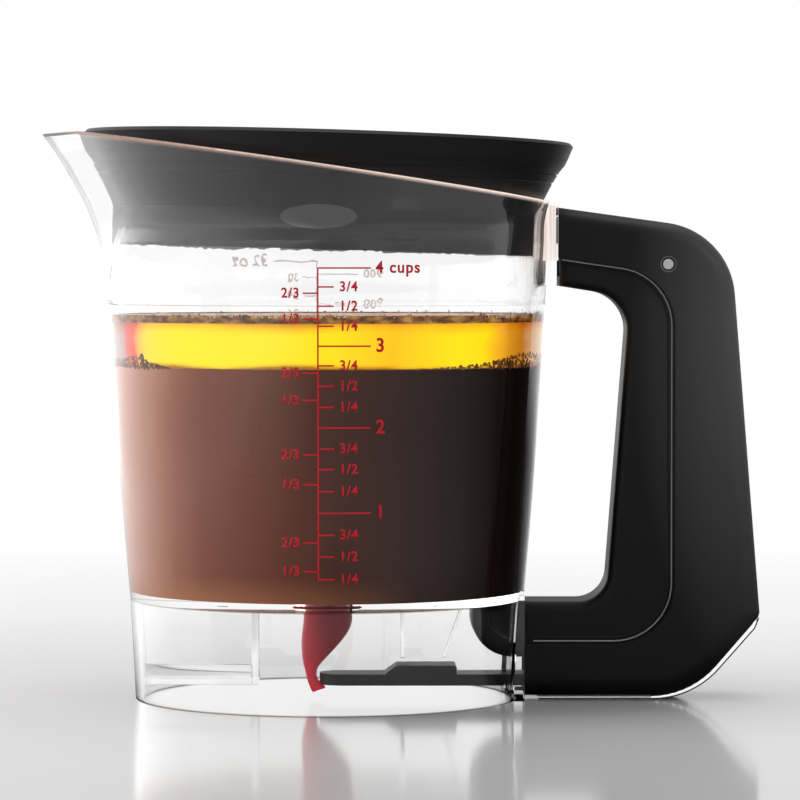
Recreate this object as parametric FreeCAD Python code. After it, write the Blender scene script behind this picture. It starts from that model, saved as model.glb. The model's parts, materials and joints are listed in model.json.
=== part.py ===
"""Gravy fat separator: clear jug with a spout, a strainer lid and a squeeze-to-pour bottom valve.

All sizes are in millimetres. Inside the script X is measured from the cup's upright axis and Z from the
table; the spout points along -X and the handle along +X. Each finished piece is shifted along X when it
is written, so that the whole object's box is centred on the origin.

Squeezing the trigger swings it on its pin into the handle shell. Its leg pulls the valve slider back,
and the silicone nozzle that the slider's tip held bent shut hangs straight and pours.
"""
import FreeCAD, Part
import math
import os

from FreeCAD import Vector

os.makedirs("parts", exist_ok=True)

# ---------------------------------------------------------------- cup
WALL = 2.4                      # clear plastic wall of chamber, skirt and spout
BASE_R = 54.6                   # outer radius of the ring that stands on the table
FLOOR_UNDER_Z = 28.4            # underside of the chamber floor
FLOOR_T = 2.7                   # thickness of the chamber floor
SKIRT_GROWTH = 1.5              # growth of the outer radius from the table to the floor,
BELLY_GROWTH = 3.5              # from the floor to the belly,
SHOULDER_GROWTH = 2.5           # from the belly to the shoulder
NECK_GROWTH = 0.9               # and from there to the start of the mouth's flare
BELLY_Z = 72.0
SHOULDER_Z = 112.0              # where the spout starts to leave the round wall
FLARE_Z = 138.5                 # start of the mouth's flare, just under the rim at the handle
FLARE_SLOPE = 0.4605            # outward growth per mm of height in the flare
FLARE_BLEND = 2.0               # height over which the flare sets in
RIM_HANDLE_Z = 141.0            # rim height at the handle and at the spout's tip
RIM_SPOUT_Z = 160.3
RIM_SLOPE = 0.1465
SPOUT_LEAD = 7.4                # spout tip past the round mouth at the same height
SPOUT_TIP_R = 9.0               # plan radius of the spout's nose
SPOUT_SWELL = 5.0               # even part of the spout's growth, the rest comes near the rim
SPOUT_POWER = 2.2
MOUTH_STEPS = 10                # plan outlines from the shoulder to the rim
FIN_T = 2.2                     # guide fins under the floor
POST_T = 3.6
BEAD_Z0 = 5.8                   # low bead of the left fin
FIN_GAP = 0.8                   # fin edge above the slider's pad
FIN_SET = 1.0                   # fin's front edge behind the pad's
FIN_LOW_SHORT = 3.0             # fin's low edge short of the pad's rear
FIN_ARM_GAP = 1.2               # fin's top end before the trigger's arm
FIN_BOND = 1.0                  # left fin's run into the skirt's wall

# ---------------------------------------------------------------- handle
HANDLE_REACH = 122.7            # outermost point of the handle, from the axis
HANDLE_W = 28.0                 # width of the shell
SHELL_WALL = 2.2
SHELL_EDGE_R = 5.0              # rounding of the shell's outer edges
TONGUE_T = 1.3                  # clear foot tongue of the cup, under the handle
TONGUE_W = 17.0
TONGUE_SWELL = 1.2              # extra thickness of the tongue at the heel
BRACKET_T = 2.3                 # face of the cup's upper bracket, where the shell starts, past the neck
BRACKET_CREST = 0.6             # its top over the handle's top line
FOOT_T = 1.3                    # face of the cup's lower bracket past the base ring
RIB_T = 0.5                     # rib under the bracket, past the neck
BRACKET_LOW_Z = 124.4
HANDLE_TOP_Z = 139.4            # top line of the handle at the bracket
HANDLE_TOP_DROP = 0.139         # its fall per mm towards the corner
BACK_LEAN = 0.080               # outward lean of the back per mm of height
BACK_TOP_Z = 132.6              # height of the back's top corner, before its rounding
CORNER_R = 22.0                 # rounding of that corner
HEEL_TIP_Z = 24.0
HEEL_TIP_R = 3.0
HEEL_RUN = 19.6                 # how far the slanted heel runs back under the handle
HEEL_R = 25.0
BACK_DEPTH = 24.4               # upright seam between shell and trigger, before the reach
SEAM_TOP_Z = 125.3              # seam at the bracket
SEAM_DROP = 0.148
SEAM_LOW_Z = 16.2
SEAM_R = 17.0

# ---------------------------------------------------------------- trigger and its pin
PIN_BEFORE_SEAM = 2.0
PIN_Z = 123.4
PIN_R = 1.45
PIN_RUNNING = 0.05              # radial clearance of the trigger on its pin
PIN_RECESS_R = 2.3
PIN_RECESS_DEPTH = 0.8
EAR_R = 5.0                     # trigger ear round the pin
SIDE_GAP = 0.4                  # trigger to shell, each side
TRIGGER_WALL = 2.4
FINGER_WALL = 2.6
FINGER_EDGE_R = 2.8
TRIGGER_OVERLAP = 4.0           # how deep the trigger sits inside the shell, past the seam
TOP_ARM_DROP = 0.7              # its top arm sits less deep
TOP_ARM_FLAT = 10.0             # the top arm's straight edge ends so far before the pin
TOP_ARM_R = 6.0
EAR_DIP = 0.6                   # and so far under the ear's crown
TRIGGER_EDGE_R = 2.0
OPENING_TOP_Z = 117.3           # finger opening at the bracket
OPENING_TOP_DROP = 0.160
GRIP_DEPTH = 37.1               # its upper corner before the reach, and the lean of the grip face
OPENING_LEAN = 0.077
OPENING_TOP_R = 11.0
OPENING_LOW_R = 8.5
FLOOR_CLEAR = 0.5               # trigger arm under the chamber floor
ARM_RUN = 15.1                  # end of the lower arm inside the skirt, before the foot's face
ARM_TIP_R = 11.5
LUG_W = 17.0                    # clear lug of the cup that the pin locks to the shell
LUG_R = 4.6
LUG_OVER_EAR = 0.8              # lug's arm above the trigger's ears
LUG_TOP_R = 3.0
SLOT_CLEAR = 0.8                # skirt slot to trigger arm

# ---------------------------------------------------------------- valve
SLIDER_W = 13.0
SLIDER_T = 3.2
SLIDER_RUN = 0.3                # slider over the shell's floor
SLIDER_TIP_X = -2.2
PAD_BEFORE_ARM = 4.0            # rear of the slider's raised pad, before the arm's tip
PAD_L = 17.1
PAD_RISE = 2.5
PAD_RAMP = 3.5
PAD_R = 2.0
PAD_EDGE_R = 0.8
LINK_BEFORE_HEEL = 21.6         # link pin before the heel's corner
LINK_R = 1.5
LINK_CLEAR = 0.10
LINK_ABOVE = 2.5                # pin centre above the slider's bar
LINK_EYE = 1.4                  # ear's wall round the pin
EAR_TOP_R = 3.0
EAR_T = 2.9
EAR_REACH = 5.0                 # half length of the slider's ears
LEG_W = 6.4
LEG_L = 8.0
LEG_GAP = 1.6                   # leg above the slider's bar
WEB_GAP = 1.6                   # the leg's web above the slider's ears
NECK_BORE_R = 6.4               # outlet hole in the floor
NOZZLE_CLEAR = 0.1
NOZZLE_FLANGE_R = 9.6
NOZZLE_FLANGE_T = 1.8
NOZZLE_BEAD_R = 7.8
NOZZLE_BEAD_T = 2.2
NOZZLE_WALL = 1.3
NOZZLE_EDGE = 0.8               # bevel of the flange
NOZZLE_FACE_GAP = 0.8           # nozzle to the slider's tip

# ---------------------------------------------------------------- return spring
SPRING_Z = 64.0
SPRING_R = 3.3                  # to the wire's centre
SPRING_WIRE_R = 0.45
SPRING_TURNS = 6
SPRING_END_GAP = 0.15
PEG_R = 2.3
PEG_L = 3.2
SEAT_L = 16.0                   # bridge of the trigger that the spring presses on

# ---------------------------------------------------------------- strainer lid
LID_LEAN = 1.7                  # degrees, the lid stands higher at the spout
LID_SEAT_Z = 142.0              # height on the axis about which it leans
LID_LOW_DEPTH = 11.1            # lid wall below the start of the flare
LID_WALL = 2.0
LID_NECK_GAP = 1.3              # lid wall to cup wall, and its draft
LID_DRAFT = 0.4
# height above the flare's start and gap to the cup's inner line there: flare, step, lip and rim
LID_FLARE = [(0.0, 1.3), (9.6, 1.1), (13.1, 0.7), (14.8, 0.1), (16.5, 0.1), (20.1, 0.35)]
LID_EDGE_R = 0.9
HOLE_R = 1.4
HOLE_RINGS = 7
HOLE_MARGIN = 3.7               # outermost ring of holes to the lid's wall
GROOVE_R = 0.35
GROOVE_HEIGHTS = (9.6, 12.2)
GROOVE_INSET = 0.1              # groove's centre line inside the lid's skin

# ---------------------------------------------------------------- sizes that follow
FLOOR_R = BASE_R + SKIRT_GROWTH
BELLY_R = FLOOR_R + BELLY_GROWTH
SHOULDER_R = BELLY_R + SHOULDER_GROWTH
NECK_R = SHOULDER_R + NECK_GROWTH
NECK_SLOPE = NECK_GROWTH / (FLARE_Z - SHOULDER_Z)
FLARE_RISE = RIM_SPOUT_Z - FLARE_Z
FLARE_GROWTH = FLARE_SLOPE * (FLARE_RISE + math.hypot(FLARE_RISE, FLARE_BLEND)) / 2
SPOUT_REACH = NECK_R + NECK_SLOPE * FLARE_RISE + FLARE_GROWTH + SPOUT_LEAD
AXIS_X = (SPOUT_REACH - HANDLE_REACH) / 2
BRACKET_X = NECK_R + BRACKET_T
FOOT_X = BASE_R + FOOT_T
SEAM_X = HANDLE_REACH - BACK_DEPTH
PIN_X = SEAM_X - PIN_BEFORE_SEAM
OPENING_X = HANDLE_REACH - GRIP_DEPTH
ARM_TIP_X = FOOT_X - ARM_RUN
PAD_X1 = ARM_TIP_X - PAD_BEFORE_ARM
PAD_X0 = PAD_X1 - PAD_L
FLOOR_TOP_Z = FLOOR_UNDER_Z + FLOOR_T
SHELL_FLOOR_Z = TONGUE_T + SHELL_WALL
SLIDER_Z0 = SHELL_FLOOR_Z + SLIDER_RUN
SLIDER_Z1 = SLIDER_Z0 + SLIDER_T
PAD_Z = SLIDER_Z1 + PAD_RISE
LINK_Z = SLIDER_Z1 + LINK_ABOVE
INSIDE_W = HANDLE_W - 2 * SHELL_WALL
TRIGGER_W = INSIDE_W - 2 * SIDE_GAP
TRIGGER_IN_W = TRIGGER_W - 2 * TRIGGER_WALL
ARM_TOP_Z = FLOOR_UNDER_Z - FLOOR_CLEAR
ARM_LOW_Z = SEAM_LOW_Z - TRIGGER_OVERLAP
GRIP_BACK_X = SEAM_X + TRIGGER_OVERLAP
HEEL_BEND_X = HANDLE_REACH - HEEL_RUN
LINK_X = HEEL_BEND_X - LINK_BEFORE_HEEL
LUG_ARM_Z = PIN_Z + EAR_R + LUG_OVER_EAR
EAR_TOP_Z = LINK_Z + LINK_R + LINK_EYE
LEG_WEB_Z = EAR_TOP_Z + WEB_GAP
LID_LOW_R = NECK_R - WALL - LID_NECK_GAP - LID_DRAFT
HOLE_PITCH = (LID_LOW_R - LID_WALL - HOLE_MARGIN) / HOLE_RINGS
OPENING_CORNER_Z = OPENING_TOP_Z - OPENING_TOP_DROP * (OPENING_X - BRACKET_X)
JOIN = 1.0                      # depth to which a piece's parts run into each other
FAR = 400.0                     # larger than the object, for cutting tools


def v(x, z, y=0.0):
    return Vector(x, y, z)


def rounded_face(corners):
    """Face in the XZ plane from (x, z, radius) corners, each rounded by a tangent arc."""
    edges, joints = [], []
    count = len(corners)
    for i in range(count):
        before, here, after = corners[i - 1], corners[i], corners[(i + 1) % count]
        p = v(here[0], here[1])
        to_before = (v(before[0], before[1]) - p).normalize()
        to_after = (v(after[0], after[1]) - p).normalize()
        if here[2] == 0:
            joints.append((p, None, p))
            continue
        half = to_before.getAngle(to_after) / 2
        reach = here[2] / math.tan(half)
        middle = p + (to_before + to_after).normalize() * (here[2] / math.sin(half) - here[2])
        joints.append((p + to_before * reach, middle, p + to_after * reach))
    for i in range(count):
        start, middle, end = joints[i]
        if middle is not None:
            edges.append(Part.Arc(start, middle, end).toShape())
        edges.append(Part.LineSegment(end, joints[(i + 1) % count][0]).toShape())
    return Part.Face(Part.Wire(edges))


def slab(face, width):
    """Extrude an XZ face evenly about Y = 0."""
    moved = face.copy()
    moved.translate(Vector(0, -width / 2, 0))
    return moved.extrude(Vector(0, width, 0))


def block(x0, x1, width, z0, z1):
    return Part.makeBox(x1 - x0, width, z1 - z0, Vector(x0, -width / 2, z0))


def cross_cylinder(radius, width, x, z):
    return Part.makeCylinder(radius, width, Vector(x, -width / 2, z), Vector(0, 1, 0))


def turned(points):
    """Solid of revolution about the cup's axis from (radius, z) points; a triple of points is an arc."""
    edges = []
    here = points[0]
    for step in points[1:]:
        if len(step) == 4:
            middle, end = (step[0], step[1]), (step[2], step[3])
            edges.append(Part.Arc(v(*here), v(*middle), v(*end)).toShape())
            here = end
        else:
            edges.append(Part.LineSegment(v(*here), v(*step)).toShape())
            here = step
    edges.append(Part.LineSegment(v(*here), v(*points[0])).toShape())
    return Part.Face(Part.Wire(edges)).revolve(Vector(0, 0, 0), Vector(0, 0, 1), 360)


def one_solid(shape):
    cleaned = shape.removeSplitter()
    return cleaned.Solids[0] if len(cleaned.Solids) == 1 else cleaned


def export(shape, node):
    placed = shape.copy()
    placed.translate(Vector(AXIS_X, 0, 0))
    placed.exportStep(f"parts/{node}.step")
    print(f"{node}: {len(placed.Solids)} solid, {placed.Volume:.0f} mm3, valid {placed.isValid()}")


# ---------------------------------------------------------------- cup

def mouth_radius(z):
    """Outer radius of the round part of the upper cup."""
    straight = SHOULDER_R + NECK_SLOPE * (z - SHOULDER_Z)
    above = z - FLARE_Z
    return straight + FLARE_SLOPE * (above + math.hypot(above, FLARE_BLEND)) / 2


def spout_nose(z):
    """Distance of the spout's nose from the axis."""
    rise = (z - SHOULDER_Z) / (RIM_SPOUT_Z - SHOULDER_Z)
    sharp = SPOUT_REACH - SHOULDER_R - SPOUT_SWELL
    return SHOULDER_R + SPOUT_SWELL * rise + sharp * rise ** SPOUT_POWER


def plan_arc(centre, radius, start, end, z):
    """Arc about (centre, 0) whose angles are counted from the spout's direction."""
    points = [
        Vector(centre - radius * math.cos(a), radius * math.sin(a), z)
        for a in (start, (start + end) / 2, end)
    ]
    return Part.Arc(*points).toShape()


def mouth_section(z, inset):
    """Plan outline at a height: the round body and the spout's nose, joined by straight sides."""
    radius = mouth_radius(z) - inset
    if z <= SHOULDER_Z:
        tip, side = math.radians(6), math.radians(12)
        return Part.Wire([
            plan_arc(0, radius, -tip, tip, z),
            plan_arc(0, radius, tip, side, z),
            plan_arc(0, radius, side, 2 * math.pi - side, z),
            plan_arc(0, radius, -side, -tip, z),
        ])
    fade = max(0.0, (RIM_SPOUT_Z - z) / (RIM_SPOUT_Z - SHOULDER_Z))
    nose_r = SPOUT_TIP_R + (BASE_R / 2 - SPOUT_TIP_R) * fade - inset
    centre = inset + nose_r - spout_nose(z)
    turn = math.acos((radius - nose_r) / -centre)
    nose = plan_arc(centre, nose_r, -turn, turn, z)
    body = plan_arc(0, radius, turn, 2 * math.pi - turn, z)
    ends = [nose.Vertexes[-1].Point, body.Vertexes[0].Point, body.Vertexes[-1].Point, nose.Vertexes[0].Point]
    side_one = Part.LineSegment(ends[0], ends[1]).toShape()
    side_two = Part.LineSegment(ends[2], ends[3]).toShape()
    return Part.Wire([nose, side_one, body, side_two])


def mouth_solid(inset):
    height = RIM_SPOUT_Z - SHOULDER_Z
    levels = [SHOULDER_Z + height * step / MOUTH_STEPS for step in range(MOUTH_STEPS + 2)]
    return Part.makeLoft([mouth_section(z, inset) for z in levels], True, False)


def rim_cutter():
    """Everything above the rim, which is level at the spout's tip and then falls to the handle."""
    level_x = NECK_R - (RIM_SPOUT_Z - RIM_HANDLE_Z) / RIM_SLOPE
    low_z = RIM_HANDLE_Z - RIM_SLOPE * NECK_R
    return slab(rounded_face([
        (-2 * SPOUT_REACH, RIM_SPOUT_Z, 0), (level_x, RIM_SPOUT_Z, 0), (2 * NECK_R, low_z, 0),
        (2 * NECK_R, FAR, 0), (-2 * SPOUT_REACH, FAR, 0),
    ]), FAR)


def chamber_side(inset):
    """Side line of the chamber from the floor to the shoulder, as (middle, end) of an arc."""
    return (BELLY_R - inset, BELLY_Z, SHOULDER_R - inset, SHOULDER_Z)


def guide_fins():
    """Clear plates under the floor that keep the slider down and stiffen the floor."""
    low = PAD_Z + FIN_GAP
    right = rounded_face([
        (PAD_X0 + FIN_SET, FLOOR_UNDER_Z, 0), (PAD_X0 + FIN_SET, low, 0),
        (PAD_X1 - FIN_LOW_SHORT, low, 0), (ARM_TIP_X - FIN_ARM_GAP, FLOOR_UNDER_Z, 0),
    ])
    left_end = -PAD_X0 - FIN_T
    left = block(FIN_BOND - BASE_R, left_end, FIN_T, BEAD_Z0, BEAD_Z0 + POST_T)
    post = block(left_end, left_end + FIN_T, POST_T, BEAD_Z0, FLOOR_UNDER_Z)
    web = block(FIN_BOND - BASE_R, left_end, FIN_T / 2, BEAD_Z0, FLOOR_UNDER_Z)
    right_post = block(PAD_X0 + FIN_SET, PAD_X0 + FIN_SET + FIN_T, POST_T, low, FLOOR_UNDER_Z)
    return slab(right, FIN_T / 2).fuse([left, post, web, right_post])


def foot_tongue():
    """Clear strip of the cup that carries the handle's underside and heel."""
    outline = rounded_face([
        (0, 0, 0), (HEEL_BEND_X + TONGUE_SWELL / 2, 0, HEEL_R),
        (HANDLE_REACH - TONGUE_SWELL, HEEL_TIP_Z - 3 * TONGUE_SWELL, 2 * TONGUE_SWELL),
        (HANDLE_REACH, HEEL_TIP_Z, 0), (HEEL_BEND_X - HEEL_TIP_Z, 2 * HEEL_TIP_Z, 0), (0, 2 * HEEL_TIP_Z, 0),
    ])
    strip = slab(outline, TONGUE_W).cut(slab(shell_outline(0), HANDLE_W))
    return strip.common(block(BASE_R - WALL, FAR, HANDLE_W, 0, HEEL_TIP_Z - TONGUE_T / 2))


def upper_bracket():
    """Pad on the chamber that the handle butts against, and the lug that the trigger pin runs through."""
    pad = slab(rounded_face([
        (NECK_R - WALL, BRACKET_LOW_Z, 0), (BRACKET_X, BRACKET_LOW_Z, 0),
        (BRACKET_X, HANDLE_TOP_Z + BRACKET_CREST, 0), (NECK_R - WALL, RIM_HANDLE_Z, 0),
    ]), HANDLE_W)
    rib = block(NECK_R - WALL, NECK_R + RIB_T, HANDLE_W / 2, OPENING_TOP_Z, BRACKET_LOW_Z)
    arm_end = PIN_X + LUG_R
    arm = slab(rounded_face([
        (BRACKET_X - JOIN, LUG_ARM_Z, 0), (arm_end, LUG_ARM_Z, 0),
        (arm_end, lug_top(arm_end), LUG_TOP_R), (BRACKET_X - JOIN, lug_top(BRACKET_X - JOIN), 0),
    ]), LUG_W)
    lug = block(PIN_X - LUG_R, arm_end, LUG_W, PIN_Z, LUG_ARM_Z + JOIN)
    lug_end = cross_cylinder(LUG_R, LUG_W, PIN_X, PIN_Z)
    return pad.fuse([rib, arm, lug, lug_end]).cut(cross_cylinder(PIN_R, HANDLE_W, PIN_X, PIN_Z))


def cup():
    lower = turned([(0, 0), (BASE_R, 0), (FLOOR_R, FLOOR_UNDER_Z), chamber_side(0), (0, SHOULDER_Z)])
    foot_bracket = block(BASE_R - WALL, FOOT_X, HANDLE_W, 0, FLOOR_TOP_Z)
    room = turned([(0, FLOOR_TOP_Z), (FLOOR_R - WALL, FLOOR_TOP_Z), chamber_side(WALL), (0, SHOULDER_Z)])
    skirt_room = turned([
        (0, -JOIN), (BASE_R - WALL, -JOIN), (FLOOR_R - WALL, FLOOR_UNDER_Z), (0, FLOOR_UNDER_Z),
    ])
    mouth_room = mouth_solid(WALL)
    mouth = mouth_solid(0).cut(mouth_room).cut(rim_cutter())
    lower = lower.fuse([foot_bracket, foot_tongue()]).cut(room).cut(skirt_room)
    body = lower.fuse([mouth, upper_bracket().cut(mouth_room), guide_fins().common(skirt_room)])
    slot = block(ARM_TIP_X, FOOT_X + JOIN, TRIGGER_W + 2 * SLOT_CLEAR, SLIDER_Z0 - SLOT_CLEAR, FLOOR_UNDER_Z)
    outlet = Part.makeCylinder(NECK_BORE_R, 2 * FLOOR_T, Vector(0, 0, FLOOR_UNDER_Z - FLOOR_T / 2))
    return one_solid(body.cut([slot, outlet]))


# ---------------------------------------------------------------- handle

def shell_outline(inset):
    """Outer line of the handle, with its ends run on towards the cup."""
    top_left = (0.0, HANDLE_TOP_Z + HANDLE_TOP_DROP * BRACKET_X)
    corner_x = HANDLE_REACH - BACK_LEAN * (BACK_TOP_Z - HEEL_TIP_Z)
    outline = rounded_face([
        (*top_left, 0), (corner_x, BACK_TOP_Z, CORNER_R), (HANDLE_REACH, HEEL_TIP_Z, HEEL_TIP_R),
        (HEEL_BEND_X, TONGUE_T, HEEL_R), (0.0, TONGUE_T, 0),
    ])
    return outline.makeOffset2D(-inset) if inset else outline


def lug_top(x):
    """Ceiling of the lug arm, just under the shell."""
    return HANDLE_TOP_Z - HANDLE_TOP_DROP * (x - BRACKET_X) - SHELL_WALL - SIDE_GAP


def seam_face():
    """Region on the finger side of the seam between shell and trigger."""
    seam_corner_z = SEAM_TOP_Z - SEAM_DROP * (SEAM_X - BRACKET_X)
    return rounded_face([
        (0, SEAM_TOP_Z + SEAM_DROP * BRACKET_X, 0), (SEAM_X, seam_corner_z, SEAM_R),
        (SEAM_X, SEAM_LOW_Z, SEAM_R), (0, SEAM_LOW_Z, 0),
    ])


def handle_shell():
    body = slab(shell_outline(0), HANDLE_W)
    edges = [
        e for e in body.Edges
        if abs(abs(e.CenterOfMass.y) - HANDLE_W / 2) < 0.01 and e.BoundBox.XMax > 1
    ]
    body = body.makeFillet(SHELL_EDGE_R, edges)
    body = body.cut([
        slab(seam_face(), FAR),
        slab(shell_outline(SHELL_WALL), INSIDE_W),
        block(-1, BRACKET_X, FAR, SEAM_TOP_Z, FAR),
        block(-1, FOOT_X, FAR, -1, SEAM_TOP_Z),
        block(-1, FOOT_X + SHELL_WALL, INSIDE_W, SHELL_FLOOR_Z, SEAM_TOP_Z),
        block(-1, BRACKET_X + SHELL_WALL, INSIDE_W, SEAM_LOW_Z, lug_top(BRACKET_X) + SIDE_GAP),
    ])
    peg = Part.makeCylinder(PEG_R, PEG_L + JOIN, v(shell_back_x(SPRING_Z) - PEG_L, SPRING_Z), Vector(1, 0, 0))
    pin_core = block(0, FAR, HANDLE_W - 2 * PIN_RECESS_DEPTH, 0, FAR)
    recesses = cross_cylinder(PIN_RECESS_R, HANDLE_W, PIN_X, PIN_Z).cut(pin_core)
    return one_solid(body.fuse(peg).cut([cross_cylinder(PIN_R, HANDLE_W, PIN_X, PIN_Z), recesses]))


def shell_back_x(z):
    """Inner face of the shell's back wall at a height."""
    return HANDLE_REACH - BACK_LEAN * (z - HEEL_TIP_Z) - SHELL_WALL


def trigger_pin():
    return cross_cylinder(PIN_R, HANDLE_W - 2 * PIN_RECESS_DEPTH, PIN_X, PIN_Z)


# ---------------------------------------------------------------- trigger

def opening_face():
    """The finger opening between the cup and the grip."""
    drop = OPENING_TOP_DROP
    low_x = OPENING_X - OPENING_LEAN * (OPENING_CORNER_Z - ARM_TOP_Z)
    return rounded_face([
        (0, OPENING_TOP_Z + drop * BRACKET_X, 0), (OPENING_X, OPENING_CORNER_Z, OPENING_TOP_R),
        (low_x, ARM_TOP_Z, OPENING_LOW_R), (0, ARM_TOP_Z, 0),
    ])


def trigger_outline():
    """Outer line of the trigger: top arm, ears round the pin, hidden back, lower arm and its tip."""
    top_z = SEAM_TOP_Z + TRIGGER_OVERLAP - TOP_ARM_DROP
    return rounded_face([
        (BRACKET_X + SIDE_GAP, top_z, TRIGGER_EDGE_R),
        (PIN_X - TOP_ARM_FLAT, PIN_Z + EAR_R - EAR_DIP, TOP_ARM_R),
        (GRIP_BACK_X, PIN_Z + EAR_R, EAR_R), (GRIP_BACK_X, ARM_LOW_Z, SEAM_R - JOIN),
        (ARM_TIP_X, ARM_LOW_Z, ARM_TIP_R), (ARM_TIP_X, ARM_TOP_Z, TRIGGER_EDGE_R),
        (BRACKET_X + SIDE_GAP, ARM_TOP_Z, 0),
    ])


def trigger():
    opening = slab(opening_face(), FAR)
    body = slab(trigger_outline(), TRIGGER_W).cut(opening)
    edges = [
        e for e in body.Edges
        if abs(abs(e.CenterOfMass.y) - TRIGGER_W / 2) < 0.01 and on_grip(e)
    ]
    body = body.makeFillet(FINGER_EDGE_R, edges)
    finger_wall = slab(opening_face().makeOffset2D(FINGER_WALL), TRIGGER_W)
    hollow = block(0, FAR, TRIGGER_IN_W, -1, FAR).cut(finger_wall)
    tip_wall = block(0, ARM_TIP_X + TRIGGER_WALL, FAR, -1, FAR)
    body = body.cut(hollow.cut(tip_wall))
    joined_w = TRIGGER_IN_W + JOIN
    seat_z0, seat_z1 = SPRING_Z - SEAT_L / 2, SPRING_Z + SEAT_L / 2
    seat = block(GRIP_BACK_X - TRIGGER_WALL, GRIP_BACK_X, joined_w, seat_z0, seat_z1)
    peg = Part.makeCylinder(PEG_R, PEG_L + JOIN, v(GRIP_BACK_X - JOIN, SPRING_Z), Vector(1, 0, 0))
    leg_x0, leg_x1 = LINK_X - LEG_L / 2, LINK_X + LEG_L / 2
    web = block(leg_x0, leg_x1, joined_w, LEG_WEB_Z, LEG_WEB_Z + TRIGGER_WALL)
    leg = block(leg_x0, leg_x1, LEG_W, SLIDER_Z1 + LEG_GAP, LEG_WEB_Z + JOIN)
    fork = block(LINK_X - LINK_R - LINK_CLEAR, LINK_X + LINK_R + LINK_CLEAR, FAR, 0, LEG_WEB_Z - JOIN)
    body = body.fuse([seat, peg, web, leg.cut(fork)])
    return one_solid(body.cut(cross_cylinder(PIN_R + PIN_RUNNING, FAR, PIN_X, PIN_Z)))


def on_grip(edge):
    """Edges that run along the finger opening."""
    middle = edge.CenterOfMass
    box = edge.BoundBox
    inside = BRACKET_X + SIDE_GAP / 2 < middle.x < OPENING_X + 1 and middle.z > ARM_TOP_Z - 0.01
    above = middle.z < OPENING_TOP_Z + 0.1 and box.ZMin >= ARM_TOP_Z - 0.01
    return inside and above and box.XMax < SEAM_X - 5 and not is_upright_end(box)


def is_upright_end(box):
    """The straight end of the top arm at the cup."""
    return box.XLength < 0.01 and box.XMax < BRACKET_X + 2


# ---------------------------------------------------------------- valve

def valve_slider():
    end = LINK_X + EAR_REACH
    bar = block(SLIDER_TIP_X, end, SLIDER_W, SLIDER_Z0, SLIDER_Z1)
    pad = slab(rounded_face([
        (PAD_X0 - PAD_RAMP, SLIDER_Z1 - JOIN, 0), (PAD_X1, SLIDER_Z1 - JOIN, 0),
        (PAD_X1, PAD_Z, PAD_EDGE_R), (PAD_X0, PAD_Z, PAD_R), (PAD_X0 - PAD_RAMP, SLIDER_Z1, PAD_R),
    ]), SLIDER_W)
    tip_round = block(SLIDER_TIP_X, SLIDER_TIP_X + SLIDER_W / 2, SLIDER_W, SLIDER_Z0, SLIDER_Z1)
    nose = Part.makeCylinder(SLIDER_W / 2, SLIDER_T, Vector(SLIDER_TIP_X + SLIDER_W / 2, 0, SLIDER_Z0))
    bar = bar.cut(tip_round.cut(nose))
    ears = []
    for side in (-1, 1):
        ear = slab(rounded_face([
            (LINK_X - EAR_REACH, SLIDER_Z1 - JOIN, 0), (LINK_X - EAR_REACH, EAR_TOP_Z, EAR_TOP_R),
            (LINK_X + EAR_REACH, EAR_TOP_Z, EAR_TOP_R), (LINK_X + EAR_REACH, SLIDER_Z1 - JOIN, 0),
        ]), EAR_T)
        ear.translate(Vector(0, side * (SLIDER_W - EAR_T) / 2, 0))
        ears.append(ear)
    body = bar.fuse([pad, *ears]).cut(cross_cylinder(LINK_R, SLIDER_W, LINK_X, LINK_Z))
    return one_solid(body)


def link_pin():
    return cross_cylinder(LINK_R, SLIDER_W, LINK_X, LINK_Z)


def nozzle_ring(x, z, radius_x, radius_y, tilt):
    """Level ellipse at a height, tilted about Y by some degrees."""
    longer, shorter = max(radius_x, radius_y), min(radius_x, radius_y)
    ring = Part.Wire(Part.Ellipse(Vector(0, 0, 0), longer, shorter).toShape())
    if radius_y > radius_x:
        ring.rotate(Vector(0, 0, 0), Vector(0, 0, 1), 90)
    ring.rotate(Vector(0, 0, 0), Vector(0, 1, 0), tilt)
    ring.translate(v(x, z))
    return ring


def nozzle_body(inset):
    """The nozzle below its bead, bent aside by the slider's tip and curling back under it."""
    shut = SLIDER_TIP_X - NOZZLE_FACE_GAP
    bead_low = FLOOR_UNDER_Z - NOZZLE_BEAD_T
    rings = [
        (0.0, bead_low + 0.5, 6.9, 6.9, 0), (-0.2, bead_low - 4.0, 6.7, 6.9, 2), (-1.4, 17.0, 5.7, 6.5, 10),
        (shut - 1.3, 11.0, 2.7, 5.0, 12), (shut - 1.8, SLIDER_Z1 - 0.4, 1.75, 3.8, 4),
        (shut - 1.6, SLIDER_Z0 + 0.6, 1.6, 3.2, -14), (-3.0, 2.3, 1.95, 2.4, -26),
    ]
    return Part.makeLoft([
        nozzle_ring(x, z, rx - inset, ry - inset, tilt) for x, z, rx, ry, tilt in rings
    ], True, False)


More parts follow.
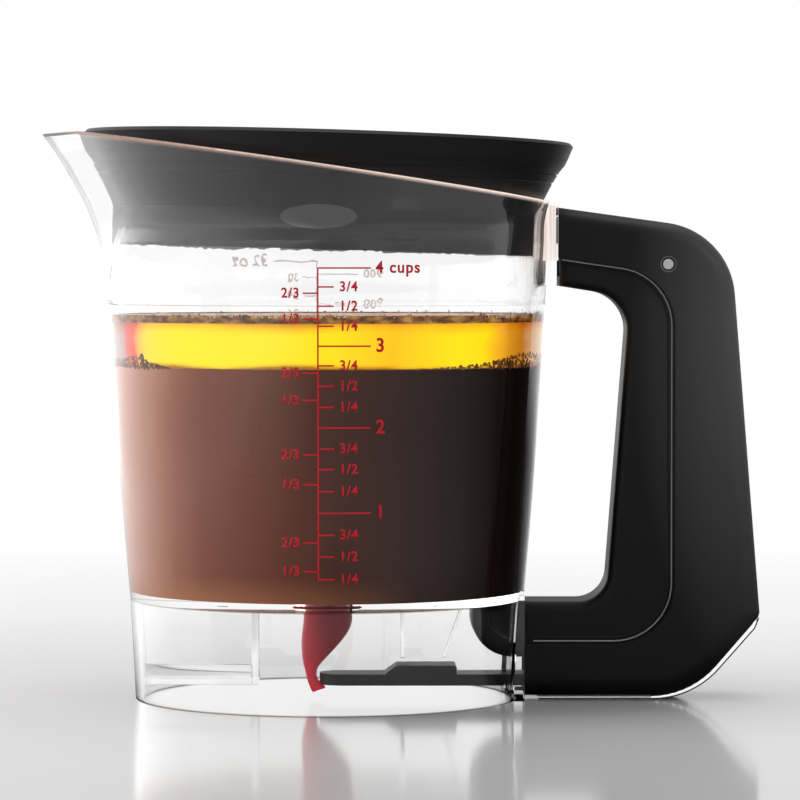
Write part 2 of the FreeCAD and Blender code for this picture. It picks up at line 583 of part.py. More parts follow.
def nozzle():
    neck_r = NECK_BORE_R - NOZZLE_CLEAR
    collar = turned([
        (0, FLOOR_UNDER_Z - NOZZLE_BEAD_T), (NOZZLE_BEAD_R, FLOOR_UNDER_Z - NOZZLE_BEAD_T),
        (NOZZLE_BEAD_R, FLOOR_UNDER_Z - NOZZLE_CLEAR), (neck_r, FLOOR_UNDER_Z - NOZZLE_CLEAR),
        (neck_r, FLOOR_TOP_Z + NOZZLE_CLEAR), (NOZZLE_FLANGE_R, FLOOR_TOP_Z + NOZZLE_CLEAR),
        (NOZZLE_FLANGE_R - NOZZLE_EDGE, FLOOR_TOP_Z + NOZZLE_FLANGE_T), (0, FLOOR_TOP_Z + NOZZLE_FLANGE_T),
    ])
    bore = Part.makeCylinder(neck_r - NOZZLE_WALL, FAR, v(0, FLOOR_UNDER_Z - NOZZLE_BEAD_T))
    return one_solid(collar.cut(bore).fuse(nozzle_body(0)).cut(nozzle_body(NOZZLE_WALL)))


# ---------------------------------------------------------------- spring

def return_spring():
    start = GRIP_BACK_X + SPRING_END_GAP + SPRING_WIRE_R
    end = shell_back_x(SPRING_Z) - SPRING_END_GAP - SPRING_WIRE_R - BACK_LEAN * SPRING_R
    helix = Part.makeHelix((end - start) / SPRING_TURNS, end - start, SPRING_R)
    section = Part.Wire(Part.Circle(Vector(SPRING_R, 0, 0), Vector(0, 1, 0), SPRING_WIRE_R).toShape())
    coil = Part.Wire(helix).makePipeShell([section], True, True)
    coil.rotate(Vector(0, 0, 0), Vector(0, 1, 0), 90)
    coil.translate(v(start, SPRING_Z))
    return coil


# ---------------------------------------------------------------- strainer lid

def cup_line(above):
    """Inner line of the cup's flare at a height above the flare's start."""
    return NECK_R - WALL + above * FLARE_SLOPE


def strainer_lid():
    low_z = FLARE_Z - LID_LOW_DEPTH
    outer = [(cup_line(h) - gap, FLARE_Z + h) for h, gap in LID_FLARE]
    inner = [(r - LID_WALL, z) for r, z in outer]
    rim_r, rim_z = outer[-1]
    body = turned([
        (0, low_z), (LID_LOW_R, low_z), *outer,
        (rim_r - LID_EDGE_R, rim_z + LID_EDGE_R), (rim_r - LID_WALL, rim_z + LID_EDGE_R / 2),
        *reversed(inner[1:-1]), inner[0],
        (LID_LOW_R - LID_WALL, low_z + LID_WALL), (0, low_z + LID_WALL),
    ])
    holes = []
    for ring in range(1, HOLE_RINGS + 1):
        around = 6 * ring
        for k in range(around):
            angle = 2 * math.pi * k / around
            along, aside = ring * HOLE_PITCH * math.cos(angle), ring * HOLE_PITCH * math.sin(angle)
            holes.append(Part.makeCylinder(HOLE_R, LID_WALL + 2 * JOIN, v(along, low_z - JOIN, aside)))
    body = body.cut(Part.makeCompound(holes))
    grooves = [
        Part.makeTorus(cup_line(h) - LID_FLARE[1][1] + GROOVE_INSET, GROOVE_R, v(0, FLARE_Z + h))
        for h in GROOVE_HEIGHTS
    ]
    body = one_solid(body.cut(grooves))
    body.rotate(v(0, LID_SEAT_Z), Vector(0, 1, 0), LID_LEAN)
    return body


PIECES = (
    cup, handle_shell, trigger, trigger_pin, return_spring, valve_slider, link_pin, nozzle, strainer_lid,
)

if __name__ == "__main__":
    for make in PIECES:
        export(make(), make.__name__)
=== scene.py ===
# %% [markdown]
# # A gravy fat separator, dressed in Blender
# The clear jug, its black handle, the trigger, the valve slider and the strainer lid come from the CAD
# frame at their real size. This file gives every piece its finish, models the soft and the wet things,
# and sets up the studio. All lengths are in metres.

import json
import math
import random

import bpy
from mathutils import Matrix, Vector


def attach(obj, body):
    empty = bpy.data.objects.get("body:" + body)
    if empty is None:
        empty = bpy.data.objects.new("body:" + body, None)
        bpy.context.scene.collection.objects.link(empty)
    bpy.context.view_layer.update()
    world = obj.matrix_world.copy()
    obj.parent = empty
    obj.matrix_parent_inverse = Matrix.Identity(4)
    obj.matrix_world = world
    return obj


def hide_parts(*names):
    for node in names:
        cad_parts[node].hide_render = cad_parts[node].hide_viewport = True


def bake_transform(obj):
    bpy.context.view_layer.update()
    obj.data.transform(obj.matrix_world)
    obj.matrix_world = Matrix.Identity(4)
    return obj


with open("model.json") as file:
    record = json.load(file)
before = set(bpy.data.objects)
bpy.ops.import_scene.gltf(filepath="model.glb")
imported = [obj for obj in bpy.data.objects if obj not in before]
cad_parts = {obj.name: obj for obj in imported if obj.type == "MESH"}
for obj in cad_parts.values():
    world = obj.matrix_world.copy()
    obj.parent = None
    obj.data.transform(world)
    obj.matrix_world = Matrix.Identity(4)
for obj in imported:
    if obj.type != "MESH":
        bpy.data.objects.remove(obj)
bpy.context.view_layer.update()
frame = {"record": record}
nodes = {o.name.split(".")[0]: o for o in bpy.data.objects if o.type == "MESH"}
print("CAD pieces:", sorted(nodes))

# %% [markdown]
# ## Sizes taken from the frame
# The jug is round about an upright axis. The ring that it stands on is the record's one mount, and its
# place gives that axis. It could be typed in, but everything below is placed from the frame's own value,
# so that a moved frame moves it all. The other values are the floor, the wall and the two liquid levels.

# %% Main sizes
MM = 0.001
AXIS_X = frame["record"]["mounts"][0]["pos_m"][0]
FLOOR_TOP = 31.1 * MM
WALL = 2.4 * MM
GRAVY_TOP = 94.8 * MM
FAT_TOP = 109.0 * MM
WET = 0.25 * MM                 # liquids reach this far into the wall, so no film of air shows
print("axis at", round(AXIS_X, 5))

# %% [markdown]
# The wall's side line is a long, shallow arc. The liquids have to touch it, so its radius is needed at any
# height. It could be read off the mesh point by point. A circle through three measured points gives the
# same line in one formula. Above the shoulder the wall runs on almost straight.

# %% Outer radius of the jug
ARC = [(56.1, 28.4), (59.6, 72.0), (62.1, 112.0)]       # (radius, height) in millimetres
FLARE = 0.034                                           # growth of the radius above the arc


def circle_through(one, two, three):
    """Centre and radius of the circle through three (radius, height) points."""
    (x1, y1), (x2, y2), (x3, y3) = one, two, three
    turn = 2 * (x1 * (y2 - y3) + x2 * (y3 - y1) + x3 * (y1 - y2))
    a, b, c = x1 * x1 + y1 * y1, x2 * x2 + y2 * y2, x3 * x3 + y3 * y3
    x = (a * (y2 - y3) + b * (y3 - y1) + c * (y1 - y2)) / turn
    y = (a * (x3 - x2) + b * (x1 - x3) + c * (x2 - x1)) / turn
    return x, y, math.hypot(x1 - x, y1 - y)


arc_x, arc_y, arc_r = circle_through(*ARC)


def outer_radius(z):
    height = z / MM
    shoulder_radius, shoulder = ARC[2]
    if height > shoulder:
        return (shoulder_radius + FLARE * (height - shoulder)) * MM
    return (arc_x + math.sqrt(arc_r ** 2 - (height - arc_y) ** 2)) * MM


def inner_radius(z):
    return outer_radius(z) - WALL


print("inner radius at the fat:", round(inner_radius(FAT_TOP) / MM, 2), "mm")

# %% [markdown]
# ## Shader maths as plain expressions
# A material is a graph, and its nodes could be added and linked one by one. A formula is easier to read
# than a list of links, so the class below wraps a socket, and +, -, * and / on it add Math nodes. One
# method of the graph adds every other kind of node, for a finish as well as for the sky.

# %% Sockets that can be added and multiplied
class Value:
    def __init__(self, graph, socket):
        self.graph = graph
        self.socket = socket

    def math(self, operation, *values):
        return self.graph.node("Math", {"operation": operation}, dict(enumerate(values)))

    def __add__(self, other):
        return self.math("ADD", self, other)

    def __mul__(self, other):
        return self.math("MULTIPLY", self, other)

    def __sub__(self, other):
        return self.math("SUBTRACT", self, other)

    def __rsub__(self, other):
        return self.math("SUBTRACT", other, self)

    def __truediv__(self, other):
        return self.math("DIVIDE", self, other)

    def __rtruediv__(self, other):
        return self.math("DIVIDE", other, self)

    __radd__ = __add__
    __rmul__ = __mul__

    def size(self):
        return self.math("ABSOLUTE", self)

    def at_least(self, lowest):
        return self.math("MAXIMUM", self, lowest)

    def held(self):
        """Kept between 0 and 1."""
        return self.graph.node("Clamp", inputs={"Value": self})


# %% A graph of nodes
class Graph:
    def __init__(self, tree):
        self.tree = tree

    def node(self, kind, settings=None, inputs=None, output=0):
        made = self.tree.nodes.new("ShaderNode" + kind)
        for name, value in (settings or {}).items():
            if name == "stops":
                fill_ramp(made.color_ramp, value)
            else:
                setattr(made, name, value)
        for name, value in (inputs or {}).items():
            if isinstance(value, Value):
                self.tree.links.new(value.socket, made.inputs[name])
            else:
                made.inputs[name].default_value = value
        return Value(self, made.outputs[output])


def fill_ramp(ramp, stops):
    while len(ramp.elements) > 1:
        ramp.elements.remove(ramp.elements[-1])
    ramp.elements[0].position, ramp.elements[0].color = stops[0]
    for position, color in stops[1:]:
        ramp.elements.new(position).color = color


# %% A finish
class Finish(Graph):
    """One material: a Principled shader, and the nodes that vary its colour, roughness and bump."""

    def __init__(self, name, **constants):
        self.material = bpy.data.materials.new(name)
        self.material.use_nodes = True
        super().__init__(self.material.node_tree)
        self.shader = self.tree.nodes["Principled BSDF"]
        for socket, value in constants.items():
            self.shader.inputs[socket.replace("_", " ")].default_value = value
        self.place = self.node("TexCoord", output="Object")

    def noise(self, scale, detail, stretch=None):
        where = self.place
        if stretch:
            where = self.node("Mapping", inputs={"Vector": where, "Scale": stretch})
        return self.node("TexNoise", inputs={"Vector": where, "Scale": scale, "Detail": detail})

    def along(self, axis):
        return self.node("SeparateXYZ", inputs={"Vector": self.place}, output=axis)

    def ramp(self, factor, stops):
        return self.node("ValToRGB", {"stops": stops}, {"Fac": factor})

    def blend(self, factor, one, two, way="MIX"):
        settings = {"data_type": "RGBA", "blend_type": way}
        return self.node("Mix", settings, {"Factor": factor, 6: one, 7: two}, output=2)

    def drive(self, socket, value):
        self.tree.links.new(value.socket, self.shader.inputs[socket])

    def bump(self, height, strength, distance):
        made = {"Strength": strength, "Distance": distance, "Height": height}
        self.drive("Normal", self.node("Bump", inputs=made))


# %% Colours, and putting a finish on a piece
def rgb(red, green, blue):
    return (red, green, blue, 1.0)


def paint(piece, finish):
    piece.data.materials.clear()
    piece.data.materials.append(finish.material)


# %% [markdown]
# ## Clear moulded plastic
# The jug is one clear moulding, which bends light a little less than glass does. Its skin is polished,
# with a breath of haze, so the roughness is not one flat number. A thick clear edge gathers light that has
# travelled a long way through the plastic, and here that light is painted into the colour: a painted warm
# glow on the rim, painted copper light on the bracket's edges, painted shade on the foot, and a painted grey
# reflection on the ridge along the front of the spout. Those edges could be separate pieces with their own
# finish.
# Masks by place keep the moulding whole, and the rim's mask follows the slope in which the rim is cut.

# %% Masks of the jug's edges, in millimetres
RIM_HEIGHT, RIM_FALL = 151.0, 0.1465           # height at the axis, and fall towards the handle
FLOOR_UNDER = 28.4
BRACKET_MIDDLE, BRACKET_HALF = 134, 8.6        # height of the handle's bracket
FLANK_X, FLANK_LEAN, LIP_X = 61.4, 0.13, 64.2  # its leaning flank, and its lip towards the handle
SPOUT_RIDGE_X = -61
clear = Finish("clear_plastic", Transmission_Weight=1.0, IOR=1.47, Emission_Strength=0.65)
height = clear.along(2) / MM
from_axis = (clear.along(0) - AXIS_X) / MM
to_rim = height + from_axis * RIM_FALL - RIM_HEIGHT


def band(distance, middle, half):
    """1 within half of the middle, then fading to 0 over the same width again."""
    return (2.0 - (distance - middle).size() / half).held()


rim_edge = band(to_rim, -0.1, 0.8)
foot_edge = band(height, 0.0, 0.2) + band(height, FLOOR_UNDER, 0.15)
ridge = band(clear.along(1) / MM, 0.0, 2.8) * ((SPOUT_RIDGE_X - from_axis) / 1.5).held()
streaks = clear.noise(900, 2, stretch=(1.0, 1.0, 0.06))
flank = band(from_axis - (height - BRACKET_MIDDLE + 1) * FLANK_LEAN, FLANK_X, 1.5)
bracket_edge = (flank + band(from_axis, LIP_X, 0.6)).held() * band(height, BRACKET_MIDDLE, BRACKET_HALF)
bracket_edge = bracket_edge * ((streaks - 0.38) * 4).held()
print("masks for rim, foot, ridge and bracket")

# %% [markdown]
# The painted edge light and shade go on one after the other, each through its mask. A clear edge also
# pipes light up to its end and glows there. Tracing that light would take far too many bounces, so rim and
# bracket get a little emission instead, a painted glow, brown near the spout and paler towards the handle.

# %% Finish of the jug
clear.drive("Roughness", clear.noise(60, 3) * 0.03 + 0.004)
tone = clear.blend(clear.noise(9, 2), rgb(1.0, 1.0, 1.0), rgb(0.985, 0.99, 0.99))
# Painted light and shade on the edges: grey reflection on the ridge, warm light on the rim, copper light on
# the bracket, shade on the foot
for mask, share, tint in (
    (ridge, 0.85, rgb(0.28, 0.28, 0.29)), (rim_edge, 0.6, rgb(0.62, 0.42, 0.33)),
    (bracket_edge, 0.9, rgb(0.50, 0.38, 0.33)), (foot_edge.held(), 0.7, rgb(0.40, 0.30, 0.25)),
):
    tone = clear.blend(mask * share, tone, tint)
clear.drive("Base Color", tone)
paler = (from_axis / 110 + 0.55 + (streaks - 0.5) * 0.6).held()
warm = clear.blend(paler, rgb(0.25, 0.135, 0.095), rgb(0.64, 0.53, 0.47))
piped = (rim_edge + bracket_edge * 0.35).held()
clear.drive("Emission Color", clear.blend(piped, rgb(0, 0, 0), warm))
paint(nodes["cup"], clear)
print("jug finish:", len(clear.tree.nodes), "nodes")

# %% [markdown]
# ## Black satin plastics
# Shell, trigger, slider and lid are moulded in black. What tells them apart is their grain: the shell and
# the trigger have a fine spark-eroded texture, the lid is a little smoother and the slider is plain. Each
# could have a graph of its own. One function makes them all, so that they stay a family, with the grain's
# size and strength as its values. On the grip a painted sheen makes the black a little greyer, where the
# light falls on the handle's upper back: the distance to the middle of the grip, measured in a squeezed
# space, gives a tall oval patch.

# %% Finish of the black mouldings
GRIP_STRETCH = Vector((1.6, 0.0, 0.5))
GRIP_MIDDLE = Vector((AXIS_X + 118 * MM, 0, 110 * MM)) * GRIP_STRETCH
GRIP_REACH = 52 * MM


def black_plastic(name, shade, rough, grain, depth, grip_sheen=False):
    finish = Finish(name, IOR=1.46, Specular_IOR_Level=0.26)
    cloud = finish.noise(22, 3)
    grey = tuple(channel * 1.6 for channel in shade)
    skin = finish.blend(cloud, rgb(*shade), rgb(*grey))
    # Painted sheen: a lighter, greyer oval on the grip, where the light falls
    if grip_sheen:
        flat = finish.node("Mapping", inputs={"Vector": finish.place, "Scale": GRIP_STRETCH})
        away = finish.node("VectorMath", {"operation": "DISTANCE"}, {0: flat, 1: GRIP_MIDDLE}, "Value")
        painted_sheen = (1.0 - away / GRIP_REACH).held()
        skin = finish.blend(painted_sheen, skin, rgb(0.085, 0.085, 0.088))
    finish.drive("Base Color", skin)
    fine = finish.noise(grain, 2)
    finish.drive("Roughness", cloud * 0.10 + fine * 0.08 + (rough - 0.09))
    finish.bump(fine, depth, 0.00006)
    return finish


shell_finish = black_plastic("handle_black", (0.0036, 0.0036, 0.0038), 0.46, 2600, 0.30, True)
trigger_finish = black_plastic("trigger_black", (0.0034, 0.0034, 0.0036), 0.48, 2600, 0.28, True)
slider_finish = black_plastic("slider_black", (0.0070, 0.0070, 0.0076), 0.42, 1400, 0.15)
lid_finish = black_plastic("lid_black", (0.0048, 0.0046, 0.0054), 0.44, 3200, 0.15)
paint(nodes["handle_shell"], shell_finish)
paint(nodes["trigger"], trigger_finish)
paint(nodes["valve_slider"], slider_finish)
paint(nodes["strainer_lid"], lid_finish)
print("black finishes for shell, trigger, slider and lid")

# %% [markdown]
# ## Steel pins
# The pins are cut from drawn wire: bright metal with fine marks along the length. A scratched picture could
# be wrapped round them. A noise that is stretched along Y, the direction of the pins, gives the same marks
# with no picture and at any size.

# %% Finish of the steel
steel = Finish("bright_steel", Metallic=1.0)
marks = steel.noise(5000, 2, stretch=(1.0, 0.03, 1.0))
steel.drive("Base Color", steel.blend(marks, rgb(0.62, 0.62, 0.63), rgb(0.80, 0.80, 0.81)))
steel.drive("Roughness", marks * 0.22 + 0.16)
steel.bump(marks, 0.2, 0.00003)
paint(nodes["trigger_pin"], steel)
paint(nodes["link_pin"], steel)
print("steel finish:", len(steel.tree.nodes), "nodes")

# %% [markdown]
# ## Tools for modelling
# Every piece below ends in the same state: one object at the origin, unturned and unscaled, with its place
# in its mesh. The helpers take care of that. An operator acts on all that is selected, so each helper
# starts from an empty selection.

# %% Helpers that select and settle
def fresh_start():
    if bpy.context.object and bpy.context.object.mode != "OBJECT":
        bpy.ops.object.mode_set(mode="OBJECT")
    bpy.ops.object.select_all(action="DESELECT")


def pick(elements, chosen):
    """Select only the vertices or faces that pass a test, and go on in edit mode."""
    bpy.ops.object.mode_set(mode="EDIT")
    bpy.ops.mesh.select_all(action="DESELECT")
    bpy.ops.object.mode_set(mode="OBJECT")
    for element in elements:
        element.select = chosen(element)
    bpy.ops.object.mode_set(mode="EDIT")


def settle(piece, name):
    """Object at the origin, transform in the mesh, and a plain name."""
    fresh_start()
    piece.select_set(True)
    bpy.context.view_layer.objects.active = piece
    bpy.ops.object.transform_apply(location=True, rotation=True, scale=True)
    piece.name = name
    piece.data.name = name
    return piece


# %% Helpers that copy and join
def merged_copy(node, name):
    """A copy of a CAD node's mesh whose faces share their corners, so that shading runs across them."""
    fresh_start()
    piece = nodes[node].copy()
    piece.data = nodes[node].data.copy()
    bpy.context.collection.objects.link(piece)
    piece.parent = None
    piece.matrix_world = nodes[node].matrix_world
    piece.select_set(True)
    bpy.context.view_layer.objects.active = piece
    piece.name = name
    bpy.ops.object.mode_set(mode="EDIT")
    bpy.ops.mesh.select_all(action="SELECT")
    bpy.ops.mesh.remove_doubles(threshold=0.001 * MM)
    bpy.ops.object.mode_set(mode="OBJECT")
    return piece


def joined(parts, name):
    """Several objects made into one settled piece."""
    fresh_start()
    for part in parts:
        part.select_set(True)
    bpy.context.view_layer.objects.active = parts[0]
    bpy.ops.object.join()
    return settle(parts[0], name)


# %% Helpers for modifiers
def thicken(piece, thickness, offset):
    """Give a skin a wall; offset 1 puts it outside the skin, and -1 inside."""
    wall = piece.modifiers.new("wall", "SOLIDIFY")
    wall.thickness = thickness
    wall.offset = offset
    bpy.ops.object.modifier_apply(modifier="wall")


def lay_on(piece, node, gap, back=False):
    """Project a flat sheet along Y onto a CAD piece, from the front or from the back."""
    lay = piece.modifiers.new("lay", "SHRINKWRAP")
    lay.target = nodes[node]
    lay.wrap_method = "PROJECT"
    lay.use_project_y = True
    lay.use_positive_direction = not back
    lay.use_negative_direction = back
    lay.offset = gap
    bpy.ops.object.modifier_apply(modifier="lay")


# %% [markdown]
# Round things could be cylinders that are scaled ring by ring. Here they are drawn as half a section and
# spun, as on a lathe, because the section is what a maker measures. A vertex is extruded along it, and the
# Spin operator turns the line about the upright axis. Where the ends meet, doubles are merged.

# %% A helper for round pieces
SPIN_STEPS = 144


def draw_line(points):
    """A chain of edges through (x, y, z) points, left in edit mode with all of it selected."""
    fresh_start()
    bpy.ops.mesh.primitive_plane_add(size=MM, location=points[0])
    bpy.ops.object.mode_set(mode="EDIT")
    bpy.ops.mesh.select_all(action="SELECT")
    bpy.ops.mesh.merge(type="CENTER")
    for here, there in zip(points, points[1:]):
        step = Vector(there) - Vector(here)
        bpy.ops.mesh.extrude_region_move(TRANSFORM_OT_translate={"value": step})
    bpy.ops.mesh.select_all(action="SELECT")


def lathe(name, section):
    """Spin a section of (radius, height) points about the jug's axis into a closed skin."""
    draw_line([(AXIS_X + radius, 0.0, height) for radius, height in section])
    bpy.ops.mesh.spin(steps=SPIN_STEPS, angle=2 * math.pi, center=(AXIS_X, 0, 0), axis=(0, 0, 1))
    bpy.ops.mesh.select_all(action="SELECT")
    bpy.ops.mesh.remove_doubles(threshold=0.01 * MM)
    bpy.ops.mesh.normals_make_consistent(inside=False)
    piece = settle(bpy.context.object, name)
    bpy.ops.object.shade_smooth_by_angle(angle=math.radians(40))
    print(name, len(piece.data.polygons), "faces")
    return piece


# %% [markdown]
# ## Smooth skin of the jug
# The real wall is one polished moulding, and flat facets in clear plastic bend the view in steps, most of
# all just under the lid. The whole jug could be spun and bridged anew, but a merged copy of its mesh keeps
# spout and bracket as they were built. The copy stands in for it, and the wall's band under the lid is
# subdivided with smoothness, which lifts the new points off the flat faces towards the true curve.

# %% Skin with a smoother band of wall
SMOOTH_FROM, SMOOTH_TO = 117 * MM, 136 * MM
SMOOTH_END_X = AXIS_X + 46 * MM                  # short of the bracket
FACING_OUT = 0.9                                 # cosine between a wall face and the way out
cup_skin = merged_copy("cup", "cup_skin")
bpy.ops.mesh.customdata_custom_splitnormals_clear()
bpy.ops.object.shade_smooth_by_angle(angle=math.radians(24))


def in_smooth_band(face):
    x, y, z = face.center
    out = Vector((x - AXIS_X, y, 0)).normalized()
    return SMOOTH_FROM < z < SMOOTH_TO and x < SMOOTH_END_X and abs(face.normal.dot(out)) > FACING_OUT


pick(cup_skin.data.polygons, in_smooth_band)
bpy.ops.mesh.select_mode(type="FACE")
bpy.ops.mesh.subdivide(number_cuts=2, smoothness=1.0)
bpy.ops.mesh.select_mode(type="VERT")
bpy.ops.object.mode_set(mode="OBJECT")
paint(cup_skin, clear)
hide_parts("cup")
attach(cup_skin, "jug")
print("cup_skin", len(cup_skin.data.polygons), "faces")

# %% [markdown]
# ## Gravy
# The gravy fills the chamber up to the fat. It could be cut from a solid with a Boolean, but it is simpler
# to spin the wall's own line. It is drawn a hair wider than the chamber, so that the clear wall and the
# liquid touch with no film of air between them.

# %% Gravy: shape
gravy_base = [(0, FLOOR_TOP - WET), (inner_radius(FLOOR_TOP) + WET, FLOOR_TOP - WET)]
gravy_heights = [*(z * MM for z in (45, 60, 72, 84)), GRAVY_TOP]
gravy_side = [(inner_radius(z) + WET, z) for z in gravy_heights]
gravy = lathe("gravy", [*gravy_base, *gravy_side, (0, GRAVY_TOP)])

# %% [markdown]
# Gravy is opaque and deep brown. Its colour carries painted light and shade: lighter on the side that
# faces the window light, and darker across to the far side. Scattered light could do that, but it is slow
# behind a clear wall. A ramp across the jug with a little drift in it gives the same look, and part of it is
# emission, a painted glow, because the wall's reflections would swallow so dark a colour.

# %% Gravy: finish
GRAVY_ACROSS, LOW_BAND_DEPTH = 112 * MM, 7 * MM
gravy_finish = Finish("gravy_brown", IOR=1.34, Roughness=0.4, Specular_IOR_Level=0.1, Emission_Strength=0.6)
across = (gravy_finish.along(0) - AXIS_X) / GRAVY_ACROSS + 0.5
drift = gravy_finish.noise(11, 3, stretch=(1.0, 1.0, 2.2))
# Painted light and shade: lighter on the window's side, darker towards the handle
gravy_tone = gravy_finish.ramp(across + (drift - 0.5) * 0.06, [
    (0.02, rgb(0.48, 0.26, 0.20)), (0.08, rgb(0.36, 0.17, 0.115)), (0.14, rgb(0.24, 0.08, 0.045)),
    (0.205, rgb(0.16, 0.042, 0.020)), (0.35, rgb(0.10, 0.022, 0.008)), (0.52, rgb(0.045, 0.012, 0.006)),
    (0.71, rgb(0.016, 0.0055, 0.0042)), (0.85, rgb(0.0075, 0.002, 0.0014)), (0.95, rgb(0.003, 0.001, 0.001)),
])
# Lighter brown in a low band by the floor, on the window's side only
low_band = (1.0 - (gravy_finish.along(2) - FLOOR_TOP) / LOW_BAND_DEPTH).held()
from_left = (0.72 - across).held()
gravy_tone = gravy_finish.blend(low_band * from_left, gravy_tone, rgb(0.36, 0.15, 0.06))
gravy_finish.drive("Base Color", gravy_tone)
gravy_finish.drive("Emission Color", gravy_tone)
paint(gravy, gravy_finish)
print("gravy finish:", len(gravy_finish.tree.nodes), "nodes")

# %% [markdown]
# ## Fat
# Melted fat floats on the gravy, clear and amber. Light that crosses it comes out yellow in the middle
# and orange where the way through is long, near the sides and above the gravy. It could be clear too, with
# coloured depth, but then its tone would hang on the light behind it. So one ramp across and one upwards
# are multiplied and glow a little, and both are stirred by a swirl.

# %% Fat: shape
fat_low = GRAVY_TOP + 0.02 * MM
fat_side = [
    (inner_radius(z) + WET, z) for z in (fat_low, (fat_low + FAT_TOP) / 2, FAT_TOP - 0.3 * MM)
]
fat = lathe("fat", [(0, fat_low), *fat_side, (inner_radius(FAT_TOP) - 0.8 * MM, FAT_TOP), (0, FAT_TOP)])

# %% Fat: finish
FAT_ACROSS = 116 * MM
fat_finish = Finish("amber_fat", IOR=1.46, Roughness=0.25, Specular_IOR_Level=0.1, Emission_Strength=0.85)
fat_across = (fat_finish.along(0) - AXIS_X) / FAT_ACROSS + 0.5
fat_up = (fat_finish.along(2) - fat_low) / (FAT_TOP - fat_low)
swirl = fat_finish.noise(38, 4, stretch=(1.0, 1.0, 2.6))
# At the window's edge the ramp runs grey, then red: a painted reflection of the wall's edge
glow = fat_finish.ramp(fat_across + (swirl - 0.5) * 0.05, [
    (0.000, rgb(0.40, 0.30, 0.28)), (0.026, rgb(0.48, 0.32, 0.30)), (0.034, rgb(0.72, 0.10, 0.09)),
    (0.054, rgb(0.80, 0.10, 0.05)), (0.064, rgb(0.95, 0.45, 0.10)), (0.080, rgb(1.00, 0.74, 0.02)),
    (0.140, rgb(1.00, 0.82, 0.00)), (0.320, rgb(1.00, 0.80, 0.00)), (0.520, rgb(1.00, 0.75, 0.00)),
    (0.660, rgb(0.97, 0.56, 0.00)), (0.820, rgb(1.00, 0.78, 0.00)), (0.875, rgb(1.00, 0.74, 0.00)),
    (0.905, rgb(0.95, 0.46, 0.01)), (0.930, rgb(0.70, 0.30, 0.01)), (0.965, rgb(0.55, 0.20, 0.01)),
    (0.980, rgb(0.68, 0.34, 0.14)), (1.000, rgb(0.75, 0.50, 0.30)),
])
depth = fat_finish.ramp(fat_up + (swirl - 0.5) * 0.30, [
    (0.00, rgb(0.40, 0.20, 0.08)), (0.05, rgb(0.85, 0.72, 0.5)), (0.10, rgb(1, 1, 1)),
    (0.66, rgb(1, 1, 1)), (0.78, rgb(0.97, 0.78, 0.5)), (0.90, rgb(0.70, 0.40, 0.25)),
    (0.99, rgb(0.30, 0.14, 0.08)),
])
# On the back half the painted grey and red of the window's edge give way to orange
back_left = (fat_finish.along(1) / (8 * MM)).held() * ((0.10 - fat_across) * 20).held()
glow = fat_finish.blend(back_left, glow, rgb(1.0, 0.62, 0.02))
fat_color = fat_finish.blend(1.0, glow, depth, "MULTIPLY")
fat_finish.drive("Base Color", fat_finish.blend(0.6, fat_color, rgb(0, 0, 0)))
fat_finish.drive("Emission Color", fat_color)
paint(fat, fat_finish)
print("fat finish:", len(fat_finish.tree.nodes), "nodes")

# %% Liquids ride with the jug
for piece in (gravy, fat):
    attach(piece, "jug")
    print(piece.name, "rides with the jug")

# %% [markdown]
# ## Skin of bubbles and the dark rim of the fat
# Where the fat climbs the wall it is thin and brown, and small bubbles collect there. The rim could be a
# dark stripe in the fat's own finish. It is a narrow ring instead, spun from its section as the fat was,
# because it stands a little above the fat. The bubbles are small flattened balls, modelled once and copied
# along the wall, with more of them on the handle's side, where the gravy was poured in.

# %% Brown rim of the fat
rim_out = inner_radius(FAT_TOP) + 1.7 * WET
rim_in = inner_radius(FAT_TOP) - 0.7 * MM
fat_rim = lathe("fat_rim", [
    (rim_in, FAT_TOP - 1.0 * MM), (rim_out, FAT_TOP - 1.75 * MM), (rim_out, FAT_TOP + 0.35 * MM),
    (rim_out - 0.5 * MM, FAT_TOP + 0.1 * MM), (rim_in, FAT_TOP - 0.15 * MM), (rim_in, FAT_TOP - 1.0 * MM),
])
# The rim glows a little in its own tone: painted light
rim_finish = Finish("fat_rim", IOR=1.46, Specular_IOR_Level=0.2, Emission_Strength=0.3)
rim_spots = rim_finish.noise(300, 4, stretch=(1.0, 1.0, 2.0))
rim_tone = rim_finish.ramp(rim_spots, [
    (0.34, rgb(0.060, 0.020, 0.007)), (0.48, rgb(0.22, 0.085, 0.020)), (0.66, rgb(0.50, 0.27, 0.08)),
])
rim_finish.drive("Base Color", rim_tone)
rim_finish.drive("Emission Color", rim_tone)
rim_finish.drive("Roughness", rim_spots * 0.3 + 0.15)
paint(fat_rim, rim_finish)
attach(fat_rim, "jug")


# %% A helper that scatters copies of one grain
def scatter(name, places, seed_shape):
    """Copies of a small modelled grain at (x, y, z, size, turn) places, joined into one piece."""
    copies = []
    for x, y, z, size, turn in places:
        copy = seed_shape.copy()
        copy.data = seed_shape.data.copy()
        bpy.context.collection.objects.link(copy)
        copy.location = (x, y, z)
        copy.scale = (size, size * 0.85, size * 0.75)
        copy.rotation_euler = (turn, turn * 1.7, turn * 2.3)
        copies.append(copy)
    piece = joined(copies, name)
    bpy.data.objects.remove(seed_shape)
    bpy.ops.object.shade_smooth()
    print(name, len(places), "grains")
    return piece


def wall_place(angle, z, inset):
    """Point on the chamber's wall; angle 0 is the front, and it grows towards the handle."""
    radius = inner_radius(z) - inset
    return AXIS_X + radius * math.sin(angle), -radius * math.cos(angle), z


